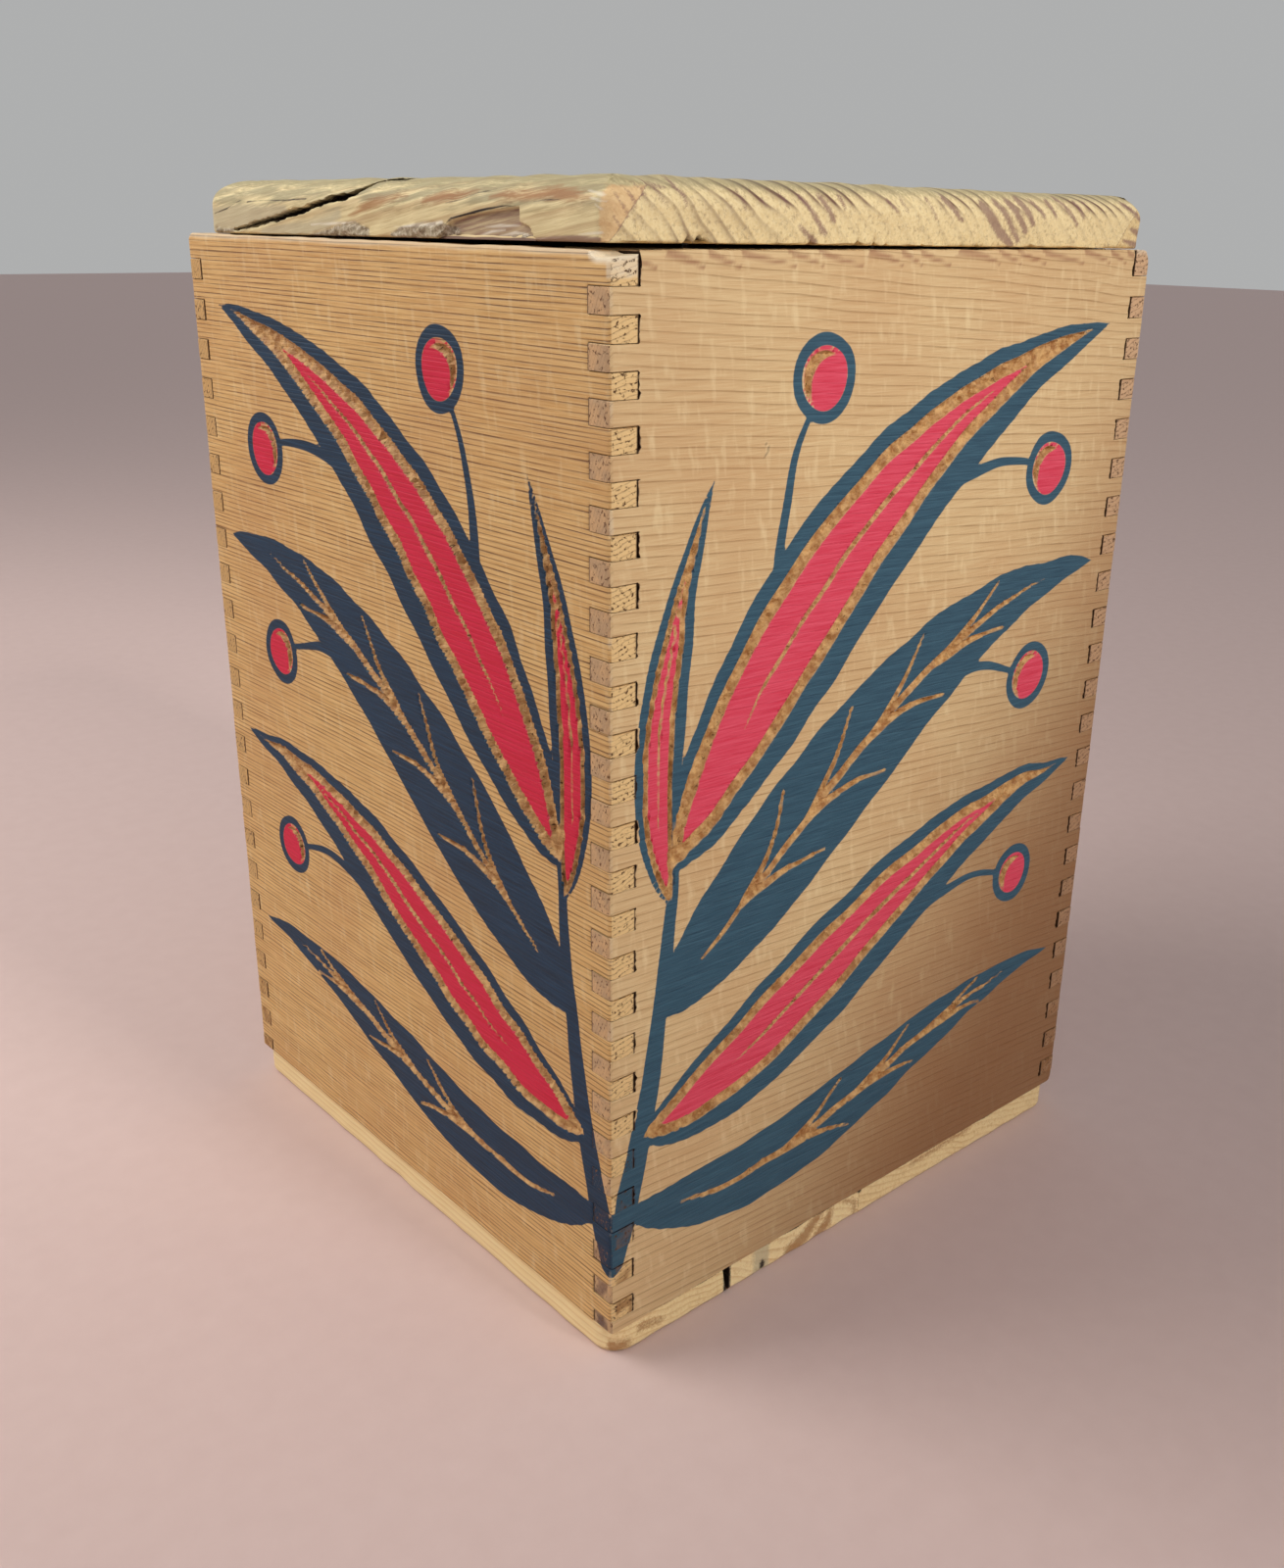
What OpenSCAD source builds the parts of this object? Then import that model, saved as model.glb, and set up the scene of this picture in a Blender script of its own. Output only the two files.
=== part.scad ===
// Tall square box of finger-jointed cedar boards, with a nailed-on base of
// three planks and a loose lid of three boards glued on slanted joints.
// Millimetres, +Z up, origin on the ground under the middle of the box.
// The front is -Y; seen from the front corner, the left wall is at -X.

/* [Walls] */
// Outside width of the box, the same both ways
box_w = 221; // [190:1:260]
// Height of the four wall boards
wall_h = 304.5; // [150:0.5:400]
// Thickness of the wall boards
wall_t = 8.3; // [6:0.1:12]
// Height of one finger in the corner joints
finger_h = 6.35; // [4:0.05:15]
// Height of the lowest finger, which the foot of the boards cuts short
low_finger_h = 4.5; // [2:0.5:8]
// Glue line between one glued piece and the next
glue_line = 0.1; // [0.05:0.05:0.3]
// Rounding of the upright outside edges
wall_edge_r = 1.2; // [0.4:0.1:3]

/* [Base] */
// Thickness of the base planks
base_t = 10.5; // [8:0.5:16]
// How far the base stands back from the wall faces
base_inset = 0.7; // [0.2:0.1:3]
// Rounding of the lower edges of the base
base_edge_r = 2; // [0.5:0.1:2.4]
// Rounding of the upright corners of the base
base_corner_r = 8; // [2:0.5:10]
// Width of the left plank
left_plank_w = 46.9; // [40:0.1:65]
// Width of the middle plank
middle_plank_w = 61.3; // [45:0.1:75]
// Open joint where the left and middle planks have shrunk apart
open_joint = 1.6; // [0.4:0.1:3]
// Closed joint between the middle and right planks
closed_joint = 0.2; // [0.1:0.1:1]

/* [Lid] */
// Thickness of the lid boards
lid_t = 15.5; // [12:0.5:22]
// How far the lid stands back from the left wall face
lid_inset_left = 1.5; // [0.2:0.1:6]
// How far the lid stands back from the right wall face
lid_inset_right = 0.2; // [0.2:0.1:6]
// How far the lid stands back from the front wall face
lid_inset_front = 3.5; // [0.5:0.1:6]
// How far the lid stands back from the back wall face
lid_inset_back = 7.5; // [0.5:0.1:8]
// Rounding of the upper edges of the lid
lid_edge_r = 8; // [2:0.5:10]
// Rounding of the upright corners of the lid
lid_corner_r = 8; // [2:0.5:12]
// Lean of the glued joints away from upright, in degrees
lid_joint_lean = 42; // [0:1:50]
// Width of the left strip along its lower face
left_strip_foot = 0.4; // [0.2:0.1:20]
// Width of the right strip along its lower face
right_strip_foot = 15; // [8:0.5:30]

/* [Cleats] */
// Width of each cleat under the lid
cleat_w = 20; // [12:1:40]
// Depth of each cleat below the lid
cleat_t = 12; // [8:0.5:20]
// Chamfer round the lower edges of the cleats
cleat_chamfer = 2; // [0.5:0.5:4]
// Play between the cleats and the insides of the walls
cleat_play = 2; // [0.5:0.1:4]

/* [Nails] */
// Diameter of a nail's shank
nail_d = 1.8; // [1.2:0.1:2.6]
// Diameter of a nail's head
nail_head_d = 3.6; // [3:0.1:4]
// Thickness of a nail's head
nail_head_t = 0.8; // [0.5:0.1:1.5]
// Length of a nail's point
nail_point = 3; // [1:0.5:5]
// How deep the nail heads are set below the wood
nail_set = 0.4; // [0.2:0.1:1]
// Room round a nail in its hole
nail_fit = 0.05; // [0.02:0.01:0.1]
// Length of the nails up through the base into the walls
base_nail_len = 28; // [18:1:40]
// Distance of a base nail from the edge of its plank
plank_nail_edge = 12; // [8:0.5:18]
// Number of base nails in each side wall
side_nail_count = 3; // [2:1:5]
// Spacing of the base nails along the side walls
side_nail_step = 60; // [20:1:75]
// Length of the nails up through the cleats into the lid
cleat_nail_len = 22; // [16:0.5:25]
// Number of nails in each cleat
cleat_nail_count = 3; // [2:1:4]
// Spacing of the nails along a cleat
cleat_nail_step = 70; // [20:1:85]

/* [Hidden] */
$fn = 48;
// How far a cutting shape runs past the surface that it cuts
past = 1;

// Walls
half = box_w / 2;
inner_half = half - wall_t;
wall_top = base_t + wall_h;
finger_count = 1 + floor((wall_h - low_finger_h) / finger_h);
socket_depth = wall_t + glue_line;

// Base planks, each as its lower and upper limit along X
base_half = half - base_inset;
left_plank = [-base_half, -base_half + left_plank_w];
middle_plank = [left_plank[1] + open_joint, left_plank[1] + open_joint + middle_plank_w];
right_plank = [middle_plank[1] + closed_joint, base_half];

// Lid
lid_x = box_w - lid_inset_left - lid_inset_right;
lid_y = box_w - lid_inset_front - lid_inset_back;
lid_mid = [(lid_inset_left - lid_inset_right) / 2, (lid_inset_front - lid_inset_back) / 2];
lid_run = tan(lid_joint_lean);
left_joint = -lid_x / 2 + left_strip_foot;
right_joint = lid_x / 2 - right_strip_foot;

// Cleats
cleat_len = 2 * (inner_half - cleat_play);
cleat_y = inner_half - cleat_play - cleat_w / 2;

// Nail places, [x, y]
nail_line = half - wall_t / 2;
plank_nail_x = [for (p = [left_plank, middle_plank, right_plank])
    for (x = [p[0] + plank_nail_edge, p[1] - plank_nail_edge]) x];
side_nail_y = [for (k = [0 : side_nail_count - 1]) (k - (side_nail_count - 1) / 2) * side_nail_step];
base_nail_places = concat(
    [for (x = plank_nail_x, side = [-1, 1]) [x, side * nail_line]],
    [for (y = side_nail_y, side = [-1, 1]) [side * nail_line, y]]);
cleat_nail_places = [for (k = [0 : cleat_nail_count - 1], side = [-1, 1])
    [(k - (cleat_nail_count - 1) / 2) * cleat_nail_step, side * cleat_y]];

cedar = [0.76, 0.58, 0.38];
red_cedar = [0.71, 0.54, 0.35];
pine = [0.87, 0.77, 0.58];
knotty_pine = [0.75, 0.64, 0.46];
base_pine = [0.84, 0.72, 0.53];
batten_pine = [0.80, 0.69, 0.50];
nail_steel = [0.38, 0.37, 0.36];

// Rectangle about the origin with round corners
module round_rect(w, d, r) {
    square([w - 2 * r, d], center = true);
    square([w, d - 2 * r], center = true);
    for (x = [-1, 1], y = [-1, 1])
        translate([x * (w / 2 - r), y * (d / 2 - r)]) circle(r);
}

// Section of a slab standing on the X axis, with its two upper corners round
module round_top(w, t, r) {
    translate([-w / 2, 0]) square([w, t - r]);
    translate([r - w / 2, 0]) square([w - 2 * r, t]);
    for (x = [-1, 1]) translate([x * (w / 2 - r), t - r]) circle(r);
}

// Slab standing on z = 0 with round upper edges and round upright corners
module eased_slab(w, d, t, edge_r, corner_r) {
    intersection() {
        rotate([90, 0, 0]) linear_extrude(d + 2 * past, center = true) round_top(w, t, edge_r);
        rotate([90, 0, 90]) linear_extrude(w + 2 * past, center = true) round_top(d, t, edge_r);
        linear_extrude(t) round_rect(w, d, corner_r);
    }
}

// Nail pointing up, with the outer face of its head at z = 0
module nail(len) {
    cylinder(d = nail_head_d, h = nail_head_t);
    cylinder(d = nail_d, h = len - nail_point);
    translate([0, 0, len - nail_point]) cylinder(d1 = nail_d, d2 = nail_d / 6, h = nail_point);
}

// Hole that a nail of this length fills, set below a surface at z = 0
module nail_hole(len) {
    translate([0, 0, -past]) cylinder(d = nail_head_d + 2 * nail_fit, h = past + nail_set + nail_head_t + nail_fit);
    cylinder(d = nail_d + 2 * nail_fit, h = nail_set + len + nail_fit);
}

module base_nail_holes() {
    for (p = base_nail_places) translate(p) nail_hole(base_nail_len);
}

module cleat_nail_holes() {
    for (p = cleat_nail_places) translate([p[0], p[1], wall_top - cleat_t]) nail_hole(cleat_nail_len);
}

// One wall board in the front wall's place. Counted up from the base, its
// sockets take the fingers of the boards beside it at every second step.
module wall_board(first_socket) {
    difference() {
        intersection() {
            translate([0, wall_t - half, base_t]) rotate([90, 0, 0]) linear_extrude(wall_t) difference() {
                translate([-half, 0]) square([box_w, wall_h]);
                for (j = [first_socket : 2 : finger_count - 1], side = [-1, 1]) finger_socket(j, side);
            }
            translate([0, 0, base_t]) linear_extrude(wall_h) round_rect(box_w, box_w, wall_edge_r);
        }
        children();
    }
}

// Socket number j on one end of a board, open past the end and past the board's top and foot
module finger_socket(j, side) {
    foot = j == 0 ? -past : low_finger_h + (j - 1) * finger_h - glue_line / 2;
    head = j == finger_count - 1 ? wall_h + past : low_finger_h + j * finger_h + glue_line / 2;
    translate([side * (half - socket_depth / 2 + past / 2), (foot + head) / 2])
        square([socket_depth + past, head - foot], center = true);
}

// A quarter turn of the board carries the nail holes with it, so each wall turns them back first
module turned_wall(turn, first_socket) {
    rotate(turn) wall_board(first_socket) rotate(-turn) base_nail_holes();
}

module front_wall() { color(cedar) turned_wall(0, 1); }

module left_wall() { color(red_cedar) turned_wall(-90, 0); }

module right_wall() { color(red_cedar) turned_wall(90, 0); }

module back_wall() { color(cedar) turned_wall(180, 1); }

// The part of the base between two limits along X, with its nail holes
module base_plank(span) {
    difference() {
        intersection() {
            translate([0, 0, base_t]) mirror([0, 0, 1])
                eased_slab(2 * base_half, 2 * base_half, base_t, base_edge_r, base_corner_r);
            translate([span[0], -half, 0]) cube([span[1] - span[0], box_w, base_t]);
        }
        base_nail_holes();
    }
}

module base_plank_left() { color(base_pine) base_plank(left_plank); }

module base_plank_middle() { color(base_pine) base_plank(middle_plank); }

module base_plank_right() { color(base_pine) base_plank(right_plank); }

module base_nails() {
    color(nail_steel) for (p = base_nail_places) translate([p[0], p[1], nail_set]) nail(base_nail_len);
}

// The part of the lid between two glued joints, each given by where it meets the lower face
module lid_board(from, to) {
    foot = [from - past * lid_run, to - past * lid_run];
    head = [from + (lid_t + past) * lid_run, to + (lid_t + past) * lid_run];
    translate([lid_mid[0], lid_mid[1], wall_top]) intersection() {
        eased_slab(lid_x, lid_y, lid_t, lid_edge_r, lid_corner_r);
        rotate([90, 0, 0]) linear_extrude(lid_y + 2 * past, center = true)
            polygon([[foot[0], -past], [foot[1], -past], [head[1], lid_t + past], [head[0], lid_t + past]]);
    }
}

module lid_left_strip() { color(knotty_pine) lid_board(left_joint - lid_x, left_joint - glue_line / 2); }

module lid_centre_board() {
    color(pine) difference() {
        lid_board(left_joint + glue_line / 2, right_joint - glue_line / 2);
        cleat_nail_holes();
    }
}

module lid_right_strip() { color(pine) lid_board(right_joint + glue_line / 2, right_joint + lid_x); }

// Batten across the lid's grain, with chamfers that lead it into the box
module lid_cleat(side) {
    difference() {
        translate([0, side * cleat_y, wall_top]) intersection() {
            rotate([90, 0, 0]) linear_extrude(cleat_w, center = true) chamfered(cleat_len);
            rotate([90, 0, 90]) linear_extrude(cleat_len, center = true) chamfered(cleat_w);
        }
        cleat_nail_holes();
    }
}

// Section of a cleat hanging from the X axis, with its two lower corners cut off
module chamfered(w) {
    polygon([[-w / 2, 0], [-w / 2, cleat_chamfer - cleat_t], [cleat_chamfer - w / 2, -cleat_t],
        [w / 2 - cleat_chamfer, -cleat_t], [w / 2, cleat_chamfer - cleat_t], [w / 2, 0]]);
}

module lid_cleat_front() { color(batten_pine) lid_cleat(-1); }

module lid_cleat_back() { color(batten_pine) lid_cleat(1); }

module cleat_nails() {
    color(nail_steel) for (p = cleat_nail_places)
        translate([p[0], p[1], wall_top - cleat_t + nail_set]) nail(cleat_nail_len);
}

front_wall();
left_wall();
right_wall();
back_wall();
base_plank_left();
base_plank_middle();
base_plank_right();
base_nails();
lid_left_strip();
lid_centre_board();
lid_right_strip();
lid_cleat_front();
lid_cleat_back();
cleat_nails();
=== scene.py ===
from functools import partial

import bpy
import numpy as np
from mathutils import Matrix, Vector


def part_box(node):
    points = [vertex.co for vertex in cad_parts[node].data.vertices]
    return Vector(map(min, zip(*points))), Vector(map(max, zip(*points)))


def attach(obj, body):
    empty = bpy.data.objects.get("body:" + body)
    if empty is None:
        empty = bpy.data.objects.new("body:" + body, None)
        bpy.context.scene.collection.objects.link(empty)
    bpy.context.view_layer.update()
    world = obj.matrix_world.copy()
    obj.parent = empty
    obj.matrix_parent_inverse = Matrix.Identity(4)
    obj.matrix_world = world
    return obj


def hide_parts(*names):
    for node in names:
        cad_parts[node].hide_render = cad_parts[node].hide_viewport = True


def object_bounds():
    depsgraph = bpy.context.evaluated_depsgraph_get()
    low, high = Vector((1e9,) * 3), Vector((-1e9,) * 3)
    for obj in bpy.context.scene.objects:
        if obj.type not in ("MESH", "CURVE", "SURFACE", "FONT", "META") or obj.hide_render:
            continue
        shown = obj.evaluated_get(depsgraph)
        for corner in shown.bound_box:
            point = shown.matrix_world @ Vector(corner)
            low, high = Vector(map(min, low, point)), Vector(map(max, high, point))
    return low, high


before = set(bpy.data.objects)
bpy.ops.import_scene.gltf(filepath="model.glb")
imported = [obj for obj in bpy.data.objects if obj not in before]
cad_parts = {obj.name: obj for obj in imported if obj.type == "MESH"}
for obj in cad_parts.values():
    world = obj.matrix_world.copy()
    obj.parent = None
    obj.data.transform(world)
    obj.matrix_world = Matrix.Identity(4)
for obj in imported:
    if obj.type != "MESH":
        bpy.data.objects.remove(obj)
cad_lo, cad_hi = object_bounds()
MM = 0.001


# Base planks
# Three sawn softwood planks with the grain from front to back, nailed up into the wall boards.
# Their lower edges and corners are eased by hand; the front shows the sawn end grain and one
# joint that has shrunk open.
def linear(hex_colour):
    """An sRGB hex colour as linear red, green, blue and alpha: each channel c becomes
    ((c + 0.055) / 1.055) to the power 2.4, or c / 12.92 where it is very dark."""
    c = np.array([int(hex_colour[i:i + 2], 16) for i in (1, 3, 5)]) / 255
    return (*np.where(c > 0.04045, ((c + 0.055) / 1.055) ** 2.4, c / 12.92), 1.0)


# The output taken from a node of each kind, where it isn't the first
MAIN_OUTPUT = {"TexCoord": "Object", "NewGeometry": "True Normal", "Attribute": "Fac", "TexWave": "Fac",
               "VectorMath": "Value", "Mix": 2}


def add_node(tree, kind, inputs=None, **settings):
    """Adds one shader node with its settings. Each input is another node, whose output is linked into
    that socket, or a hex colour or a plain value. A node that mixes, mixes colours."""
    node = tree.nodes.new("ShaderNode" + kind)
    if kind == "Mix":
        settings["data_type"] = "RGBA"
    for name, value in settings.items():
        setattr(node, name, value)
    for socket, value in (inputs or {}).items():
        if isinstance(value, bpy.types.Node):
            output = MAIN_OUTPUT.get(value.bl_idname.removeprefix("ShaderNode"), 0)
            tree.links.new(value.outputs[output], node.inputs[socket])
        else:
            node.inputs[socket].default_value = linear(value) if isinstance(value, str) else value
    return node


def new_material(name):
    """A material with no nodes yet, and the function that adds one to it."""
    material = bpy.data.materials.new(name)
    material.use_nodes = True
    material.node_tree.nodes.clear()
    return material, partial(add_node, material.node_tree)


def set_ramp(node, stops):
    """Gives a colour ramp its stops, each a place from 0 to 1 and a grey level or a hex colour."""
    ramp = node.color_ramp.elements
    while len(ramp) < len(stops):
        ramp.new(1.0)
    for element, (place, tone) in zip(ramp, stops):
        element.position = place
        element.color = linear(tone) if isinstance(tone, str) else (tone, tone, tone, 1.0)


def end_faces(add, axis, low, high):
    """1 on faces square to the grain, which runs along an axis, and 0 on faces along it: the part of the
    normal that points that way, from low to high."""
    normal = add("NewGeometry")
    along = add("VectorMath", {0: normal, 1: tuple(np.eye(3)[axis])}, operation="DOT_PRODUCT")
    size = add("Math", {0: along}, operation="ABSOLUTE")
    return add("MapRange", {"Value": size, "From Min": low, "From Max": high})


def lay_on(add, surface, label, wobble, low, high, share, tone):
    """Lays a share of a tone on a surface, where the mesh's values of this label go from low to high with
    edges broken up by a wobble. Gives the new surface and where the tone lies."""
    field = add("Attribute", attribute_name=label)
    edged = add("Math", {0: field, 1: wobble}, operation="ADD")
    mask = add("MapRange", {"Value": edged, "From Min": low, "From Max": high, "To Max": share})
    return add("Mix", {0: mask, 6: surface, 7: tone}), mask


# One turn of a wave texture's bands is 2 pi / 20 of its coordinate
WAVE_TURN = 2 * np.pi / 20
# The scale of patterns along the grain, which draws them out
GRAIN_SCALE = 0.03
# Marks in softwood, laid on in this order: how much of the wood each hides, and its colour,
# where that isn't the torn fibre's own
STAINS = (("silver", 0.6, "#b3a98f"), ("olive", 0.62, "#837c5e"), ("fresh_and_lit", 0.55, "#e2b380"),
          ("amber", 0.72, "#9c5f28"), ("plum", 0.72, "#7f5856"), ("torn", 0.85, None),
          ("pale", 0.85, "#ebe2cf"), ("dark", 1.0, "#24160f"))


def softwood(name, pale, deep, streak, ring, lean, slope=0.0, bold=0.6):
    """Sawn and sanded softwood, such as pine or fir, with the grain along Y: pale earlywood, brown
    latewood at each year ring, speckled end grain and a dry, low sheen. The ring planes lean over from
    upright by lean, and the grain rises towards -Y by slope. The mesh says where the rings are faded
    and where the wood is weathered silver or olive, paler and warmer at a front corner (fresh end grain
    with painted light), stained amber or plum, torn, rubbed pale, or dark: open joints, cracks and
    chips, with painted shade in the lid's crack, along the top of a split and under the walls."""
    material, add = new_material(name)
    coord = add("TexCoord")
    turned = add("Mapping", {"Vector": coord, "Rotation": (slope, lean, 0.0)})
    stretched = add("Mapping", {"Vector": turned, "Scale": (1.0, GRAIN_SCALE, 1.0)})
    rings = add("TexWave", {"Vector": stretched, "Scale": WAVE_TURN / ring, "Distortion": 9.0,
                            "Detail": 2.0, "Detail Scale": 0.4}, bands_direction="X", wave_profile="SAW")
    line = add("ValToRGB", {"Fac": rings})
    set_ramp(line, [(0.0, 0.35), (0.08, 0.0), (0.45, 0.05), (0.72, 0.42), (0.89, 1.0), (1.0, 0.8)])
    patch = add("TexNoise", {"Vector": stretched, "Scale": 1 / (20 * MM), "Detail": 3.0})
    strength = add("MapRange", {"Value": patch, "From Min": 0.36, "From Max": 0.64, "To Min": 0.25 * bold,
                                "To Max": bold})
    full = add("Math", {0: line, 1: strength}, operation="MULTIPLY")
    faded = add("Attribute", attribute_name="faded")
    kept = add("Math", {0: 1.0, 1: faded}, operation="SUBTRACT")
    late = add("Math", {0: full, 1: kept}, operation="MULTIPLY")
    fibre = add("TexNoise", {"Vector": stretched, "Scale": 1 / (0.7 * MM), "Detail": 4.0,
                             "Roughness": 0.65})
    spread = add("MapRange", {"Value": fibre, "From Min": 0.32, "From Max": 0.68})
    body = add("Mix", {0: spread, 6: pale, 7: deep})
    ringed = add("Mix", {0: late, 6: body, 7: streak})

    end_grain = end_faces(add, 1, 0.55, 0.8)
    pores = add("TexNoise", {"Vector": coord, "Scale": 1 / (1.3 * MM), "Detail": 4.0, "Roughness": 0.7})
    speckle = add("MapRange", {"Value": pores, "From Min": 0.52, "From Max": 0.72, "To Max": 0.5})
    speckled = add("Math", {0: speckle, 1: end_grain}, operation="MULTIPLY")
    wood = add("Mix", {0: speckled, 6: ringed, 7: streak})

    # Stains and torn wood, with edges broken up by the fibre
    ragged = add("MapRange", {"Value": fibre, "From Min": 0.25, "From Max": 0.75, "To Min": -0.3,
                              "To Max": 0.3})
    torn_fibre = add("ValToRGB", {"Fac": pores})
    set_ramp(torn_fibre, [(0.35, "#6b5c49"), (0.5, "#9c8d77"), (0.6, "#bfb39f"), (0.7, "#e4ddd0")])
    for label, share, tone in STAINS:
        wood, where = lay_on(add, wood, label, ragged, 0.3, 0.85, share, tone or torn_fibre)
        if label == "torn":
            torn = where
    torn_relief = add("Math", {0: torn, 1: pores}, operation="MULTIPLY")
    smooth_relief = add("Math", {0: fibre, 1: speckled}, operation="SUBTRACT")
    relief = add("Math", {0: torn_relief, 1: 2.5, 2: smooth_relief}, operation="MULTIPLY_ADD")
    bump = add("Bump", {"Height": relief, "Strength": 0.5, "Distance": 0.35 * MM})
    shader = add("BsdfPrincipled", {"Base Color": wood, "Normal": bump, "Roughness": 0.62, "IOR": 1.45})
    add("OutputMaterial", {"Surface": shader})
    return material


def box_shell(xs, ys, zs):
    """The outside of a box as a grid: the points of the lattice xs by ys by zs that lie on its six
    sides, and the quads that join neighbours on each side, turned outwards."""
    shape = (len(xs), len(ys), len(zs))
    lattice = np.stack(np.meshgrid(xs, ys, zs, indexing="ij"), -1)
    outside = np.ones(shape, bool)
    outside[1:-1, 1:-1, 1:-1] = False
    number = np.full(shape, -1)
    number[outside] = np.arange(outside.sum())
    quads = []
    for axis in range(3):
        for end in (0, -1):
            side = np.take(number, end, axis)
            ring = np.stack([side[:-1, :-1], side[1:, :-1], side[1:, 1:], side[:-1, 1:]], -1).reshape(-1, 4)
            inward = (end == 0) != (axis == 1)
            quads.append(ring[:, ::-1] if inward else ring)
    return lattice[outside], np.concatenate(quads)


def spaced(lo, hi, step, margin, fine):
    """Places from lo to hi: fine steps within the margin at both ends, and wider steps between."""
    near = np.linspace(0, margin, max(2, round(margin / fine)) + 1)
    middle = np.linspace(lo + margin, hi - margin, max(2, round((hi - lo - 2 * margin) / step)) + 1)
    return np.r_[lo + near[:-1], middle, (hi - near[:-1])[::-1]]


def unit(values):
    """Values kept within 0 to 1."""
    return np.clip(values, 0, 1)


def rounded(points, lo, hi, corner, edges):
    """Rounds a slab that fills the box lo to hi. In a square to be rounded, the place (a, b) from 0 to 1
    goes to (a sqrt(1 - b b / 2), b sqrt(1 - a a / 2)), which is a quarter circle. First a and b are the
    ways out to the two sides of an upright corner; then, for each (end, inward, deep) of edges, they are
    the way out to the rounded outline and the way to the upper face, end 1, or the lower one, end -1."""
    p = points.copy()
    mid, half = (lo + hi) / 2, (hi - lo) / 2
    side = np.sign(p - mid)
    a, b = unit((np.abs(p - mid) - half)[:, :2].T / corner + 1)
    p[:, 0] += side[:, 0] * corner * a * (np.sqrt(1 - b * b / 2) - 1)
    p[:, 1] += side[:, 1] * corner * b * (np.sqrt(1 - a * a / 2) - 1)
    for end, inward, deep in edges:
        reach = (np.abs(p - mid) - half)[:, :2] + np.reshape(corner, (-1, 1))
        turning = np.maximum(reach, 0)
        length = np.linalg.norm(turning, axis=1)
        outward = np.where(length[:, None] > 0, turning / np.maximum(length, 1e-9)[:, None],
                           np.eye(2)[reach.argmax(1)])
        a = unit((length + np.minimum(reach.max(1), 0) - corner) / inward + 1)
        b = unit((end * (p[:, 2] - mid[2]) - half[2]) / deep + 1)
        p[:, :2] += side[:, :2] * outward * (inward * a * (np.sqrt(1 - b * b / 2) - 1))[:, None]
        p[:, 2] += end * deep * b * (np.sqrt(1 - a * a / 2) - 1)
    return p


def waves(points, size, seed, count=9):
    """Smooth uneven values of about -1 to 1: the sum of sine waves of about one size, in directions
    and phases drawn from a seed."""
    rng = np.random.default_rng(seed)
    heading = rng.normal(size=(count, points.shape[-1]))
    heading *= 2 * np.pi / size * rng.uniform(0.6, 1.6, (count, 1)) / np.linalg.norm(heading, axis=1)[:, None]
    return np.sin(points @ heading.T + rng.uniform(0, 2 * np.pi, count)).sum(-1) / np.sqrt(count)


def mesh_piece(name, points, faces, material, body, node, sharp=32, fields=None):
    """A mesh object of these points and faces, smooth except where faces meet at more than sharp
    degrees, with named values at its points. It rides on a body in place of its CAD node."""
    mesh = bpy.data.meshes.new(name)
    mesh.from_pydata(points.tolist(), [], faces)
    mesh.shade_smooth()
    mesh.set_sharp_from_angle(angle=np.radians(sharp))
    mesh.materials.append(material)
    for label, values in (fields or {}).items():
        mesh.attributes.new(label, "FLOAT", "POINT").data.foreach_set("value", values.astype(np.float32))
    piece = bpy.data.objects.new(name, mesh)
    bpy.context.scene.collection.objects.link(piece)
    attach(piece, body)
    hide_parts(node)
    return piece


# The distance that stands for places far from a stroke
FAR = 1000.0


def stroke(u, v, spine, half):
    """Signed distance, below 0 inside, to a brush stroke: the least distance to any piece of the spine,
    less the half width there."""
    spine, half = np.asarray(spine, float), np.asarray(half, float)
    margin = half.max() + 14
    lo, hi = spine.min(0) - margin, spine.max(0) + margin
    near = (u > lo[0]) & (u < hi[0]) & (v > lo[1]) & (v < hi[1])
    x, y = u[near], v[near]
    best = np.full(x.shape, FAR)
    for a, b, half_a, half_b in zip(spine[:-1], spine[1:], half[:-1], half[1:]):
        run = b - a
        t = unit(((x - a[0]) * run[0] + (y - a[1]) * run[1]) / (run @ run))
        away = np.hypot(x - a[0] - t * run[0], y - a[1] - t * run[1])
        best = np.minimum(best, away - half_a - t * (half_b - half_a))
    distance = np.full(u.shape, FAR)
    distance[near] = best
    return distance


def mark(distance, soft):
    """1 inside a stroke, 0 outside it, with a soft edge of this width."""
    return unit(0.5 - distance / soft)


def marked(x, y, strokes, soft):
    """The strongest of several soft-edged strokes at each place."""
    return np.max([mark(stroke(x, y, spine, half), soft) for spine, half in strokes], 0)


BASE_CORNER = 8.0 * MM
# The lower edges, then the upper ones
BASE_EDGES = ((-1, 2.0 * MM, 2.0 * MM), (1, 0.5 * MM, 0.5 * MM))
BASE_WEAR = 0.16 * MM
# How far back the marks of the front ends reach, in mm
BASE_FRONT = 5.0
# How far the open joint's left side stands out at its foot and back at its top, in mm, and how far
# along the plank that reaches
GAP_FOOT, GAP_TOP = 0.8, 1.3
OPEN_REACH = 6 * MM
base_lo = np.array(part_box("base_plank_left")[0])
base_hi = np.array(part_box("base_plank_right")[1])
base_ys = spaced(base_lo[1], base_hi[1], 4 * MM, 8 * MM, 0.7 * MM)
base_zs = spaced(base_lo[2], base_hi[2], 1.0 * MM, 2.5 * MM, 0.4 * MM)
BASE_WOODS = {
    "base_plank_left": ("#fae5b2", "#f2d59c", "#d0a264", 2.3 * MM, 1.42),
    "base_plank_middle": ("#fbe7b5", "#f5d9a2", "#d0a062", 2.9 * MM, 1.2),
    "base_plank_right": ("#f8e2ae", "#f0d098", "#c9985a", 2.6 * MM, 1.3),
}
# How dark the closed joint is beside the open one
CLOSED_SOIL = 0.3
# How far dirt reaches from a joint, and painted shade from the wall above, and how near the outer ends
# there is none, in mm
SOIL_AND_SHADE_WIDTH = 0.8
END_REACH = 9.0
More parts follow.
